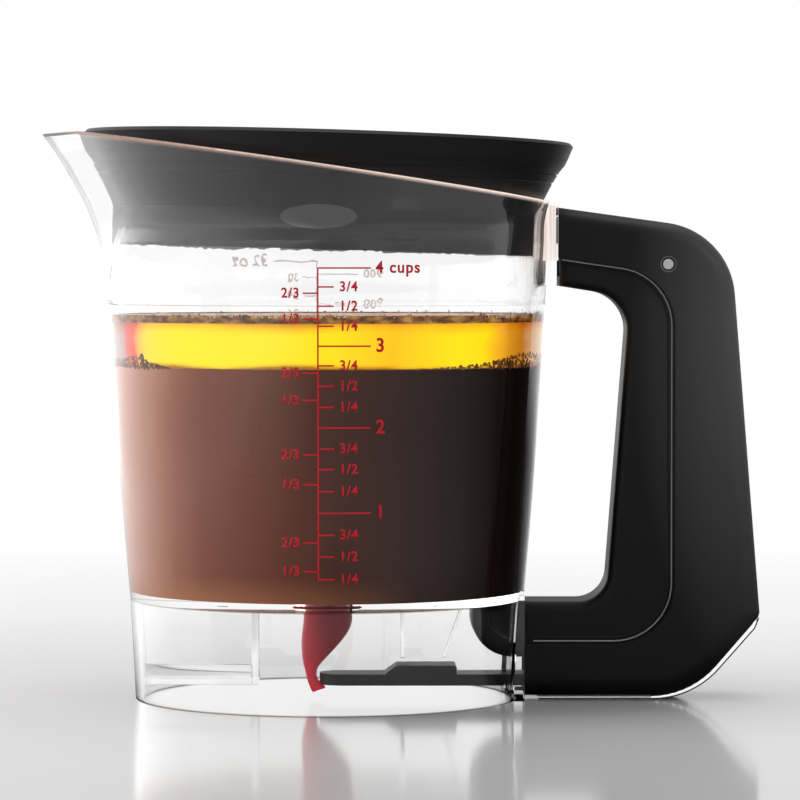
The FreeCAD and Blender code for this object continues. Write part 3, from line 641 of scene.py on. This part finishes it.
# %% Bubbles on the fat
BUBBLE_COUNT = 900
chance = random.Random(4)
fresh_start()
bpy.ops.mesh.primitive_uv_sphere_add(segments=8, ring_count=6, radius=1.0)
bubble_seed = bpy.context.object
bubble_places = []
for count in range(BUBBLE_COUNT):
    angle = chance.uniform(-math.pi, math.pi)
    if count % 3 == 0:                           # a third on the handle's side, a third at the front
        angle = chance.uniform(0.75, 1.6)
    elif count % 3 == 1:
        angle = chance.uniform(-0.75, 0.1)
    bank = (0.8 + 0.9 * max(0.0, math.sin(angle)) ** 3) * MM
    size = chance.uniform(0.10, 0.34) * MM
    rise = chance.uniform(-0.35, 0.65) * bank
    place = wall_place(angle, FAT_TOP + 0.1 * MM + rise, -0.3 * MM)
    bubble_places.append((*place, size, chance.uniform(0, 3)))
bubbles = scatter("fat_bubbles", bubble_places, bubble_seed)
bubble_finish = Finish("fat_bubbles", IOR=1.4, Specular_IOR_Level=0.5)
mix = bubble_finish.noise(260, 2)
# The pale end of the ramp is a painted glint on the bubbles, the darker ends their brown
bubble_finish.drive("Base Color", bubble_finish.ramp(mix, [
    (0.36, rgb(0.10, 0.04, 0.012)), (0.46, rgb(0.42, 0.24, 0.10)), (0.56, rgb(0.90, 0.82, 0.68)),
]))
bubble_finish.drive("Roughness", mix * 0.3)
paint(bubbles, bubble_finish)
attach(bubbles, "jug")

# %% [markdown]
# ## Crumbs between fat and gravy
# Browned bits sink through the fat and lie on the gravy. They gather in two banks at the wall. Particles
# could drop them there, but a loop with a fixed seed puts each one where it is wanted and in the same place
# every time. One crumb is an ico sphere roughened by a Displace modifier, and its copies differ in size
# and turn.

# %% One crumb
fresh_start()
bpy.ops.mesh.primitive_ico_sphere_add(subdivisions=2, radius=1.0)
crumb_seed = bpy.context.object
lumps = bpy.data.textures.new("crumb_lumps", "CLOUDS")
lumps.noise_scale = 0.6
rough_up = crumb_seed.modifiers.new("lumps", "DISPLACE")
rough_up.texture = lumps
rough_up.strength = 1.1
bpy.ops.object.modifier_apply(modifier="lumps")
print("one crumb has", len(crumb_seed.data.polygons), "faces")

# %% Crumbs
# A bank: the angle where it starts and its height there in millimetres, the same for its end, and how many
BANKS = [
    (-1.50, 2.6, -1.12, 3.0, 110), (-1.14, 3.2, -0.98, 4.2, 70), (-1.0, 3.0, -0.78, 0.6, 90),
    (0.42, 0.2, 0.85, 2.2, 90), (0.85, 2.0, 1.12, 4.6, 150), (1.12, 4.6, 1.57, 4.0, 170),
    (1.9, 2.0, 2.6, 2.4, 70), (-2.6, 2.2, -1.9, 2.0, 70),
    (-0.7, 0.5, 0.5, 0.4, 80), (2.6, 0.5, 3.7, 0.5, 40),
]
crumb_places = []
for start, start_tall, end, end_tall, count in BANKS:
    for _ in range(count):
        share = chance.random()
        angle = start + (end - start) * share
        tall = start_tall + (end_tall - start_tall) * share
        size = chance.uniform(0.30, 0.30 + min(0.55, 0.2 * tall)) * MM
        z = GRAVY_TOP + max(0.0, chance.uniform(-0.05, 1.0) * (tall - 0.6)) * MM
        crumb_places.append((*wall_place(angle, z, 0.35 * size - 0.2 * MM), size, chance.uniform(0, 3)))
crumbs = scatter("browned_crumbs", crumb_places, crumb_seed)
crumb_finish = Finish("browned_crumbs", Specular_IOR_Level=0.2)
bits = crumb_finish.noise(330, 3)
crumb_finish.drive("Base Color", crumb_finish.ramp(bits, [
    (0.34, rgb(0.085, 0.030, 0.010)), (0.50, rgb(0.20, 0.080, 0.018)), (0.68, rgb(0.42, 0.20, 0.05)),
]))
crumb_finish.drive("Roughness", bits * 0.4 + 0.4)
paint(crumbs, crumb_finish)
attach(crumbs, "jug")

# %% [markdown]
# ## Printed scales
# Both scales are printed on the outside of the wall: cups in front, fluid ounces and millilitres at the
# back. They could be a picture on the wall's finish, but ink with a real edge stays sharp at any distance.
# Figures start as text and strokes start as narrow grids, all upright in one flat sheet in front of the
# jug. They are joined and projected onto the wall with Shrinkwrap, then given the thickness of a coat of
# ink with Solidify. The grids have enough cuts to follow the round wall.

# %% Helpers for print
SHEET_Y = 85 * MM                # how far in front of the jug the flat sheet stands
STROKE = 0.42 * MM
INK = 0.06 * MM
INK_GAP = 0.03 * MM              # keeps the ink's inner skin off the wall
LETTER_GAP, LETTER_BOLD, LETTER_WIDTH = 1.12, 0.024, 0.94


def letters(text, x, z, size, align, back=False):
    """Upright text whose edge, or middle, lies at (x, z) from the jug's axis, in millimetres."""
    fresh_start()
    side = 1 if back else -1
    bpy.ops.object.text_add(
        location=(AXIS_X + x * MM, side * SHEET_Y, z * MM),
        rotation=(math.pi / 2, 0, math.pi if back else 0))
    made = bpy.context.object
    made.data.body = text
    made.data.size = size * MM
    made.data.align_x = align
    made.data.align_y = "CENTER"
    made.data.space_character = LETTER_GAP
    made.data.offset = LETTER_BOLD * MM * size
    made.scale = (LETTER_WIDTH, 1, 1)
    bpy.ops.object.convert(target="MESH")
    return bpy.context.object


def stroke(x0, z0, x1, z1, back=False):
    """A straight stroke between two points, upright or level."""
    fresh_start()
    wide = max(abs(x1 - x0) * MM, STROKE)
    tall = max(abs(z1 - z0) * MM, STROKE)
    bpy.ops.mesh.primitive_grid_add(
        x_subdivisions=max(1, round(wide / MM)), y_subdivisions=max(1, round(tall / MM)), size=1,
        location=(AXIS_X + (x0 + x1) / 2 * MM, (1 if back else -1) * SHEET_Y, (z0 + z1) / 2 * MM),
        rotation=(math.pi / 2, 0, math.pi if back else 0))
    made = bpy.context.object
    made.scale = (wide, tall, 1)
    return made


# %% A helper that prints marks on the wall
def printed(name, marks, back=False):
    """Join marks, lay them on the jug's wall and give them the thickness of ink."""
    piece = joined(marks, name)
    lay_on(piece, "cup", INK_GAP, back)
    thicken(piece, INK, offset=1)
    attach(piece, "jug")
    print(name, len(piece.data.polygons), "faces")
    return piece


# %% Marks of the cup scale
SCALE_X = -1.4                                        # places and heights in millimetres
CUP_MARKS = {1: 55.9, 2: 79.1, 3: 101.2, 4: 122.3}
QUARTERS = [
    (117.2, "3/4"), (112.0, "1/2"), (106.6, "1/4"), (95.9, "3/4"), (90.4, "1/2"), (84.7, "1/4"),
    (73.4, "3/4"), (67.8, "1/2"), (61.8, "1/4"), (49.9, "3/4"), (44.0, "1/2"), (37.8, "1/4"),
]
THIRDS = [
    (115.5, "2/3"), (108.5, "1/3"), (94.0, "2/3"), (86.6, "1/3"), (71.8, "2/3"), (63.7, "1/3"),
    (47.8, "2/3"), (40.0, "1/3"),
]
print(len(CUP_MARKS) + len(QUARTERS) + len(THIRDS), "marks in front")

# %% Cup scale on the front
front_marks = [stroke(SCALE_X, QUARTERS[-1][0], SCALE_X, CUP_MARKS[4])]
for whole, z in CUP_MARKS.items():
    front_marks.append(stroke(SCALE_X, z, SCALE_X + 14.3, z))
    label = "4 cups" if whole == 4 else str(whole)
    size = 4.4 if whole == 4 else 5.2
    front_marks.append(letters(label, SCALE_X + 15.6, z + 0.1, size, "LEFT"))
for z, label in QUARTERS:
    front_marks.append(stroke(SCALE_X, z, SCALE_X + 4.3, z))
    front_marks.append(letters(label, SCALE_X + 5.8, z, 3.75, "LEFT"))
for z, label in THIRDS:
    front_marks.append(stroke(SCALE_X - 4.1, z, SCALE_X, z))
    front_marks.append(letters(label, SCALE_X - 5.0, z, 3.75, "RIGHT"))
cup_scale = printed("cup_scale", front_marks)

ink = Finish("red_ink", Specular_IOR_Level=0.3)
patchy = ink.noise(900, 2)
ink.drive("Base Color", ink.blend(patchy, rgb(0.56, 0.004, 0.016), rgb(0.70, 0.008, 0.026)))
ink.drive("Roughness", patchy * 0.2 + 0.35)
paint(cup_scale, ink)

# %% Heights on the back
BACK_X = -4.3
BACK_RISE = 2.2                                       # the back scale stands this much higher
ML_PER_OUNCE = 29.57
OUNCE_MARKS = [(8 * cups, CUP_MARKS[cups]) for cups in (4, 3, 2, 1)] + [(2, QUARTERS[-1][0])]


def back_height(ounces):
    """Height of a volume, between the cup marks."""
    for (high, high_z), (low, low_z) in zip(OUNCE_MARKS, OUNCE_MARKS[1:]):
        if ounces >= low:
            return low_z + (high_z - low_z) * (ounces - low) / (high - low) + BACK_RISE
    return OUNCE_MARKS[-1][1] + BACK_RISE


print("100 ml lies at", round(back_height(100 / ML_PER_OUNCE), 1), "mm")

# %% Ounce and millilitre scale on the back
back_marks = [stroke(BACK_X, back_height(2), BACK_X, back_height(32), back=True)]
for ounces in range(2, 33, 2):
    long_mark = ounces % 8 == 0
    end = BACK_X - (13.4 if long_mark else 4.0)
    z = back_height(ounces)
    back_marks.append(stroke(end, z, BACK_X, z, back=True))
    label = "32 oz" if ounces == 32 else str(ounces)
    size = 4.6 if long_mark else 3.5
    back_marks.append(letters(label, end - 1.6, z, size, "LEFT", back=True))
for millilitres in range(100, 901, 100):
    z = back_height(millilitres / ML_PER_OUNCE)
    back_marks.append(stroke(BACK_X, z, BACK_X + 12.6, z, back=True))
    back_marks.append(letters(str(millilitres), BACK_X + 14.4, z, 3.9, "RIGHT", back=True))
back_scale = printed("back_scale", back_marks, back=True)

# The ink is pale grey-pink, and its glow is painted light, which lifts the back scale out of the shade it is
# seen in
grey_ink = Finish("grey_ink", Specular_IOR_Level=0.3, Emission_Strength=0.45)
patchy = grey_ink.noise(900, 2)
pale = grey_ink.blend(patchy, rgb(0.84, 0.70, 0.70), rgb(0.92, 0.80, 0.80))
grey_ink.drive("Base Color", pale)
grey_ink.drive("Emission Color", pale)
grey_ink.drive("Roughness", patchy * 0.2 + 0.35)
paint(back_scale, grey_ink)

# %% [markdown]
# ## Silicone nozzle
# The nozzle is a soft tube. Its neck passes through the jug's floor, and a bead holds it from below. At
# rest the slider's tip pushes it aside and folds it shut. A spun tube could be bent with a lattice, but a
# folded tube is plainer to draw as a row of ellipses, like slices. Bridge Edge Loops spans the skin between
# them, Solidify gives it a wall, and subdivision rounds it.

# %% Nozzle slices
# x and z of a slice's middle, its half widths along X and Y, in millimetres, and its tip in degrees
SLICES = [
    (0.0, 31.2, 6.2, 6.2, 0), (0.0, 29.8, 6.3, 6.3, 0), (0.0, 28.5, 6.3, 6.3, 0),
    (0.0, 28.2, 7.7, 7.7, 0), (0.0, 27.2, 7.8, 7.8, 0), (0.0, 26.3, 7.6, 7.6, 0), (0.0, 25.6, 6.8, 6.9, 0),
    (0.2, 24.0, 6.9, 6.9, 0), (0.1, 21.4, 7.0, 6.9, 0), (-0.7, 18.5, 6.6, 6.7, 0),
    (-1.7, 16.0, 5.8, 6.3, 0), (-2.8, 13.4, 4.6, 5.8, 0), (-4.2, 10.3, 2.95, 5.0, 0),
    (-4.65, 8.6, 1.95, 4.4, 2), (-4.65, 7.0, 1.5, 3.8, 4), (-4.4, 5.2, 1.45, 3.2, 8),
    (-3.45, 3.5, 1.7, 2.7, 16), (-2.3, 2.0, 2.2, 2.4, 24),
]
SLICE_POINTS = 28
slices = []
for x, z, half_x, half_y, tip in SLICES:
    fresh_start()
    bpy.ops.mesh.primitive_circle_add(
        vertices=SLICE_POINTS, radius=MM, location=(AXIS_X + x * MM, 0, z * MM),
        rotation=(0, -math.radians(tip), 0))
    bpy.context.object.scale = (half_x, half_y, 1)
    slices.append(bpy.context.object)
nozzle_skin = joined(slices, "nozzle_skin")
bpy.ops.object.mode_set(mode="EDIT")
bpy.ops.mesh.select_all(action="SELECT")
bpy.ops.mesh.bridge_edge_loops()
bpy.ops.mesh.select_all(action="SELECT")
bpy.ops.mesh.normals_make_consistent(inside=False)
bpy.ops.object.mode_set(mode="OBJECT")
print("nozzle", len(nozzle_skin.data.polygons), "faces before its wall")

# %% Nozzle wall
thicken(nozzle_skin, 0.9 * MM, offset=-1)
soften = nozzle_skin.modifiers.new("soften", "SUBSURF")
soften.levels = 2
soften.render_levels = 2
bpy.ops.object.modifier_apply(modifier="soften")
bpy.ops.object.shade_smooth()
print("nozzle", len(nozzle_skin.data.polygons), "faces with its wall")

# %% [markdown]
# Red silicone lets some light through, so the thin lower end and the side towards the window look bright
# and the wide top looks dark. Subsurface scattering would do it, at a price, so here it is painted light and
# shade: a colour ramp up the nozzle, a lighter side towards the window, and a glow on both.

# %% Nozzle finish
NOZZLE_TALL, NOZZLE_WIDE = 27 * MM, 9 * MM
silicone = Finish("silicone", IOR=1.41, Specular_IOR_Level=0.16, Emission_Strength=0.30)
up_nozzle = (silicone.along(2) / NOZZLE_TALL).held()
cloud = silicone.noise(160, 3)
# Painted light and shade: bright red at the thin lower end, dark at the wide top
body_red = silicone.ramp(up_nozzle, [
    (0.00, rgb(0.80, 0.004, 0.016)), (0.30, rgb(0.56, 0.004, 0.022)), (0.60, rgb(0.30, 0.006, 0.022)),
    (0.90, rgb(0.17, 0.010, 0.026)),
])
body_red = silicone.blend(cloud * 0.35, body_red, rgb(0.30, 0.006, 0.030))
towards_spout = ((AXIS_X - silicone.along(0)) / NOZZLE_WIDE).held()
silicone.drive("Base Color", silicone.blend(towards_spout, body_red, rgb(0.78, 0.09, 0.12)))
lit = (towards_spout * towards_spout * 0.8 + (1 - up_nozzle * 2.2).held() * 0.8 + cloud * 0.1).held()
silicone.drive("Emission Color", silicone.blend(lit, rgb(0.10, 0.003, 0.006), rgb(0.95, 0.010, 0.045)))
silicone.drive("Roughness", cloud * 0.15 + 0.30)
silicone.bump(silicone.noise(700, 2), 0.1, 0.00004)
paint(nozzle_skin, silicone)
paint(nodes["nozzle"], silicone)
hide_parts("nozzle")
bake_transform(nozzle_skin)
print("silicone finish:", len(silicone.tree.nodes), "nodes")

# %% [markdown]
# ## Return spring
# The coil brings the trigger back. Its wire comes from the CAD frame, where it is stiff. A new coil could
# be made with a Screw modifier, but a merged copy has the right pitch already. The copy stands in for the
# CAD coil, shaded smooth and finished in steel.

# %% Spring copy
spring_wire = merged_copy("return_spring", "spring_wire")
bpy.ops.object.shade_smooth()
paint(spring_wire, steel)
paint(nodes["return_spring"], steel)
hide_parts("return_spring")
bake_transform(spring_wire)

# %% [markdown]
# ## Small trim
# Two fine beads run along the seam on each side of the trigger; the outer one is paler, a painted glint on
# the seam's edge. A dark line marks each outer edge of the clear strip under the handle, a painted dark edge
# of the clear plastic. A bead could be a thin tube swept by hand. Here it is a chain of edges that is turned
# into a curve, given a round section, and turned back into a mesh, and its corners are true arcs.

# %% Helper: a round bead along a path
CORNER_STEPS = 10


def rounded_path(corners):
    """Points of a path in the XZ plane through (x, z, radius) corners, in millimetres from the axis."""
    points = [corners[0][:2]]
    for before, here, after in zip(corners, corners[1:], corners[2:]):
        p = Vector(here[:2])
        back = (Vector(before[:2]) - p).normalized()
        on = (Vector(after[:2]) - p).normalized()
        half = back.angle(on) / 2
        centre = p + (back + on).normalized() * (here[2] / math.sin(half))
        start = p + back * (here[2] / math.tan(half)) - centre
        end = p + on * (here[2] / math.tan(half)) - centre
        for step in range(CORNER_STEPS + 1):
            spoke = start.lerp(end, step / CORNER_STEPS).normalized() * here[2]
            points.append(tuple(centre + spoke))
    points.append(corners[-1][:2])
    return points


def bead(name, paths, thickness):
    """Round beads along paths, each a list of (x, z) points and its y, joined into one piece."""
    made = []
    for points, y in paths:
        draw_line([(AXIS_X + x * MM, y * MM, z * MM) for x, z in points])
        bpy.ops.object.mode_set(mode="OBJECT")
        bpy.ops.object.convert(target="CURVE")
        line = bpy.context.object
        line.data.bevel_depth = thickness * MM
        line.data.bevel_resolution = 2
        line.data.use_fill_caps = True
        bpy.ops.object.convert(target="MESH")
        made.append(bpy.context.object)
    piece = joined(made, name)
    bpy.ops.object.shade_smooth_by_angle(angle=math.radians(50))
    print(name, len(piece.data.polygons), "faces")
    return piece


# %% Seam beads on the trigger
BEAD_FACE = 11.38                                # half the trigger's width, in millimetres
SEAM_X, SEAM_LOW, SEAM_CORNER = 96.45, 17.9, 15.3


def seam_path(out):
    """The seam's line, moved out of the finger opening by so many millimetres."""
    corner = SEAM_CORNER + out
    return rounded_path([
        (66.5, 123.6 + out, 0), (SEAM_X + out, 119.15 + out, corner),
        (SEAM_X + out, SEAM_LOW - out, corner), (58.5, SEAM_LOW - out, 0),
    ])


# The outer bead's pale colour is a painted glint on the seam's edge
for name, out, thickness, shade in (("seam_bead", 0, 0.26, 0.010), ("seam_edge", 1.05, 0.22, 0.28)):
    made = bead(name, [(seam_path(out), -BEAD_FACE), (seam_path(out), BEAD_FACE)], thickness)
    bead_finish = black_plastic(name, (shade, shade, shade * 1.03), 0.24, 1800, 0.1)
    paint(made, bead_finish)
    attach(made, "squeeze_trigger")

# %% Painted dark edge line of the clear strip under the handle
STRIP = [(60, 0.22, 0), (103.7, 0.22, 25), (121.3, 20.2, 2.2), (122.4, 23.0, 0)]
STRIP_HALF = 8.5
# The dark beads are painted shade along the clear strip's edges
strip_edge = bead("strip_edge", [(rounded_path(STRIP), y) for y in (-STRIP_HALF, STRIP_HALF)], 0.19)
edge_finish = Finish("dark_edge", IOR=1.47)
edge_cloud = edge_finish.noise(200, 2)
edge_tone = edge_finish.blend(edge_cloud, rgb(0.02, 0.02, 0.02), rgb(0.06, 0.055, 0.05))
edge_finish.drive("Base Color", edge_tone)
edge_finish.drive("Roughness", edge_cloud * 0.2 + 0.15)
paint(strip_edge, edge_finish)
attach(strip_edge, "jug")

# %% [markdown]
# A grey ring at the edge of the pin's hole on each side of the handle is a painted highlight, the light that
# the hole's rim catches. It could be spun like the jug's pieces. A torus that is squeezed flat in edit mode
# has the same section with less work.

# %% Painted highlight rings at the pin's holes
PIN_X, PIN_Z, SHELL_FACE = 96.3, 123.4, 13.75    # the pin's place and half the shell's width
rim_glints = []
for side in (-1, 1):
    fresh_start()
    bpy.ops.mesh.primitive_torus_add(
        location=(AXIS_X + PIN_X * MM, side * SHELL_FACE * MM, PIN_Z * MM), rotation=(math.pi / 2, 0, 0),
        major_radius=2.2 * MM, minor_radius=0.24 * MM, major_segments=48, minor_segments=10)
    bpy.ops.object.mode_set(mode="EDIT")
    bpy.ops.transform.resize(value=(1, 0.6, 1))
    bpy.ops.object.mode_set(mode="OBJECT")
    rim_glints.append(bpy.context.object)
pin_collar = joined(rim_glints, "pin_collar")
bpy.ops.object.shade_smooth()
# Painted highlight: a grey ring where the hole's rim catches the light
rim_glint_finish = Finish("rim_glint_grey", IOR=1.46)
glint_noise = rim_glint_finish.noise(800, 2)
rim_glint_finish.drive("Base Color", rim_glint_finish.blend(glint_noise, rgb(0.10, 0.10, 0.10), rgb(0.17, 0.17, 0.17)))
rim_glint_finish.drive("Roughness", glint_noise * 0.15 + 0.22)
paint(pin_collar, rim_glint_finish)
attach(pin_collar, "jug")
print("pin_collar", len(pin_collar.data.polygons), "faces")

# %% [markdown]
# A bare oval plate sits on the lid's front. It could be cut out of the lid's own skin. Like the print, it
# is drawn flat in front of the object instead, laid on with Shrinkwrap and thickened, so it follows the
# lid's cone however the lid is shaped.

# %% Bare oval plate on the lid
PLATE_X, PLATE_Z = -1.2, 136.4                   # its middle, in millimetres from the axis
PLATE_HALF = (10.2 * MM, 3.5 * MM)
fresh_start()
bpy.ops.mesh.primitive_circle_add(
    vertices=64, radius=1, fill_type="TRIFAN", rotation=(math.pi / 2, 0, 0),
    location=(AXIS_X + PLATE_X * MM, -80 * MM, PLATE_Z * MM))
plate = bpy.context.object
plate.scale = (*PLATE_HALF, 1)
settle(plate, "lid_plate")
bpy.ops.object.mode_set(mode="EDIT")
bpy.ops.mesh.select_all(action="SELECT")
bpy.ops.mesh.subdivide(number_cuts=4)
bpy.ops.object.mode_set(mode="OBJECT")
lay_on(plate, "strainer_lid", 0.25 * MM)
thicken(plate, 0.35 * MM, offset=1)
bpy.ops.object.shade_smooth_by_angle(angle=math.radians(35))
plate_finish = black_plastic("plate_black", (0.080, 0.078, 0.082), 0.24, 1500, 0.05)
paint(plate, plate_finish)
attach(plate, "lid")
print("lid_plate", len(plate.data.polygons), "faces")

# %% [markdown]
# ## Ribs under the floor
# Thin clear ribs stiffen the floor inside the skirt. They show only as pale lines. They could be drawn on
# the wall, but clear plastic shows by its edges alone. So each rib is a cube that is scaled to a thin plate,
# with its top moved along if it leans and its edges bevelled in edit mode: a real moulding has no sharp
# edge, and a bevel is what catches the light.

# %% Ribs under the floor
UNDERSIDE = FLOOR_UNDER + 0.1                    # the ribs reach a hair into the floor
# Each rib runs from x to x, lies at y, and runs from z to z, in millimetres; lean moves its top along X
RIBS = [
    (-21.6, -19.4, 0.0, 3.4, UNDERSIDE, 0), (-53.2, -21.4, 0.0, 3.4, 9.3, 0),
    (20.8, 22.0, 0.0, 11.2, UNDERSIDE, 0), (35.8, 36.6, 0.0, 11.2, UNDERSIDE, 5.8),
]
RIB_THICK = 1.2
RIB_EDGE = 0.3 * MM
ribs = []
for x0, x1, y, z0, z1, lean in RIBS:
    fresh_start()
    bpy.ops.mesh.primitive_cube_add(
        size=MM, location=(AXIS_X + (x0 + x1 - lean) / 2 * MM, y * MM, (z0 + z1) / 2 * MM))
    rib = bpy.context.object
    rib.scale = (x1 - x0, RIB_THICK, z1 - z0)
    bpy.ops.object.transform_apply(location=False, rotation=False, scale=True)
    pick(rib.data.vertices, lambda vertex: vertex.co.z > 0)
    bpy.ops.transform.translate(value=(lean * MM, 0, 0))
    bpy.ops.mesh.select_all(action="SELECT")
    bpy.ops.mesh.bevel(offset=RIB_EDGE, segments=2, affect="EDGES")
    bpy.ops.object.mode_set(mode="OBJECT")
    ribs.append(rib)
floor_ribs = joined(ribs, "floor_ribs")
bpy.ops.object.shade_smooth_by_angle(angle=math.radians(40))
paint(floor_ribs, clear)
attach(floor_ribs, "jug")
print("floor_ribs", len(floor_ribs.data.polygons), "faces")

# %% [markdown]
# ## Studio
# The sky is what a shiny wall mirrors. A picture of a real studio could be hung round the scene, but a few
# formulas on the direction of a ray are easier to steer. The eye sees plain white, straight or through the
# clear wall. A mirrored ray sees a dimmer sky that grows brighter behind the object and on the window's
# side, as it would from a wide window. All other rays get the soft light that fills the shadows.

# %% World
WORLD_LIGHT, WORLD_MIRRORED = 0.44, 0.30
WINDOW_WALL, WINDOW_CORNER, BACK_WALL = 2.0, 1.6, 0.36
world = bpy.data.worlds.new("studio_world")
bpy.context.scene.world = world
world.use_nodes = True
sky = Graph(world.node_tree)
direction = sky.node("TexCoord", output="Generated")
behind = sky.node("SeparateXYZ", inputs={"Vector": direction}, output="Y").at_least(0.0)
left = (sky.node("SeparateXYZ", inputs={"Vector": direction}, output="X") * -1.0).at_least(0.0)
window_light = (left - 0.3).at_least(0.0) * WINDOW_WALL + behind * left * WINDOW_CORNER
mirrored_sky = sky.node("LightPath", output="Is Glossy Ray") * (
    behind * BACK_WALL + window_light + WORLD_MIRRORED)
straight = sky.node("LightPath", output="Is Camera Ray").at_least(
    sky.node("LightPath", output="Is Transmission Ray"))
brightness = straight.at_least(mirrored_sky).at_least(WORLD_LIGHT)
background = sky.tree.nodes["Background"]
background.inputs["Color"].default_value = rgb(1, 1, 1)
sky.tree.links.new(brightness.socket, background.inputs["Strength"])
print("sky:", len(sky.tree.nodes), "nodes")

# %% [markdown]
# The floor is pale, with painted shade that makes it a little darker in front and on the left and lighter on
# the right, and it turns white with distance, so that it meets the sky without a line. A curved backdrop
# would do that in a real studio. Here the far floor, and a patch under the skirt where the jug's shadow
# would fall, mix into plain white light, painted light. What the jug's wall mirrors of the floor is set
# apart from what the
# eye sees of it: a ramp from the back to the front gives the wall its soft bands. All of it is grey, so Math
# nodes may do the sums.

# %% Floor: grid and colour
fresh_start()
bpy.ops.mesh.primitive_grid_add(x_subdivisions=4, y_subdivisions=4, size=12, location=(0, 3, 0))
studio_floor = settle(bpy.context.object, "studio_floor")
floor_finish = Finish("studio_floor", Roughness=0.10, Specular_IOR_Level=0.6)
side, away = floor_finish.along(0), floor_finish.along(1)
patches = floor_finish.noise(7, 5)
# Painted shade: darker in front, and darker on the left and lighter on the right
floor_tone = floor_finish.ramp(away / 0.9 + 0.30 + (patches - 0.5) * 0.10, [
    (0.05, rgb(0.66, 0.66, 0.66)), (0.30, rgb(0.76, 0.76, 0.76)), (0.60, rgb(0.92, 0.92, 0.92)),
])
lighter_right = floor_finish.node("MapRange", inputs={
    "Value": side, "From Min": -0.12, "From Max": 0.12, "To Min": 0.80, "To Max": 1.18})
floor_finish.drive("Base Color", floor_finish.blend(1.0, floor_tone, lighter_right, "MULTIPLY"))
print("floor colour from front to back")

# %% Floor: what the eye sees as white
WHITE_FROM, WHITE_AT = 0.10, 0.60
SKIRT_INSIDE = 54 * MM
seen = floor_finish.node("LightPath", output="Is Camera Ray")
bent = floor_finish.node("LightPath", output="Is Transmission Ray")
only_mirrored = floor_finish.node("LightPath", output="Is Glossy Ray") * (1.0 - bent)
far = floor_finish.node("MapRange", inputs={"Value": away, "From Min": WHITE_FROM, "From Max": WHITE_AT})
off_axis = side - AXIS_X
from_middle = (off_axis * off_axis + away * away) / SKIRT_INSIDE ** 2
in_ring = ((1.0 - from_middle) * 6.0).held() * 0.8
whiteness = (seen + bent).held() * (far + in_ring).held() * (1.0 - only_mirrored) + only_mirrored
print("white from", WHITE_FROM, "to", WHITE_AT, "m behind the object")

# %% Floor: what the wall mirrors
reach = side.size() + away.size() + 0.01
to_front = (0.0 - away) / reach * 0.5 + 0.5 + (side * -4.0).held()
bands = floor_finish.ramp(to_front.held(), [
    (0.00, rgb(0.95, 0.95, 0.95)), (0.12, rgb(0.70, 0.70, 0.70)), (0.24, rgb(0.04, 0.04, 0.04)),
    (0.38, rgb(0.02, 0.02, 0.02)), (0.55, rgb(0.22, 0.22, 0.22)), (0.75, rgb(0.44, 0.44, 0.44)),
    (1.00, rgb(0.50, 0.50, 0.50)),
]) * ((reach - 0.06) * 4.0).held()
far_glow = (reach - 1.2).held() * 0.5
window_glow = ((-0.08 - side) * 3.0).held()
glow = floor_finish.blend(only_mirrored, rgb(1, 1, 1), bands + far_glow + window_glow)
white = floor_finish.node("Emission", inputs={"Color": glow, "Strength": 1.0})
plain = Value(floor_finish, floor_finish.shader.outputs[0])
mixed = floor_finish.node("MixShader", inputs={0: whiteness, 1: plain, 2: white})
output = floor_finish.tree.nodes["Material Output"]
floor_finish.tree.links.new(mixed.socket, output.inputs["Surface"])
paint(studio_floor, floor_finish)
print("floor finish:", len(floor_finish.tree.nodes), "nodes")

# %% [markdown]
# Three soft area lamps light the object: a large one on the spout's side, a weaker one on the handle's side
# and one above. One strong lamp would do for the shape alone, but black plastic needs a soft light from
# each side to show its rounded edges. The large lamp stands where a window would be. It is hidden from
# mirrored and bent rays, so that its rectangle shows neither on the wall nor through it.

# %% Lamps
def soft_lamp(name, place, aim, width, height, power):
    fresh_start()
    bpy.ops.object.light_add(type="AREA", location=place)
    lamp = bpy.context.object
    lamp.name = name
    lamp.data.shape = "RECTANGLE"
    lamp.data.size = width
    lamp.data.size_y = height
    lamp.data.energy = power
    lamp.rotation_euler = (Vector(aim) - Vector(place)).to_track_quat("-Z", "Y").to_euler()
    return lamp


MIDDLE = (0, 0, 80 * MM)
window = soft_lamp("window_side", (-1.5, 0.05, 0.45), MIDDLE, 1.1, 1.2, 26)
window.visible_glossy = False
window.visible_transmission = False
soft_lamp("handle_side", (1.1, -1.1, 0.9), MIDDLE, 0.5, 0.5, 4)
soft_lamp("overhead", (0, 0.15, 1.4), MIDDLE, 1.1, 0.9, 8)

# %% [markdown]
# ## Camera
# The camera stands level with the fourth cup mark and is tipped down a little. A short lens up close would
# fill the frame as well, but a long lens from far away hardly tapers the outline, as in a catalogue.

# %% Camera
CAMERA_DISTANCE = 1.14
CAMERA_HEIGHT = CUP_MARKS[4] * MM
TILT_DOWN = math.atan(0.033)
bpy.ops.object.camera_add(
    location=(0, -CAMERA_DISTANCE, CAMERA_HEIGHT), rotation=(math.pi / 2 - TILT_DOWN, 0, 0))
camera = bpy.context.object
camera.name = "camera"
camera.data.lens = 180
camera.data.sensor_width = 36
bpy.context.scene.camera = camera
bpy.context.scene.view_settings.view_transform = "Standard"
print("camera", round(CAMERA_DISTANCE, 2), "m away, tipped by", round(math.degrees(TILT_DOWN), 2), "degrees")
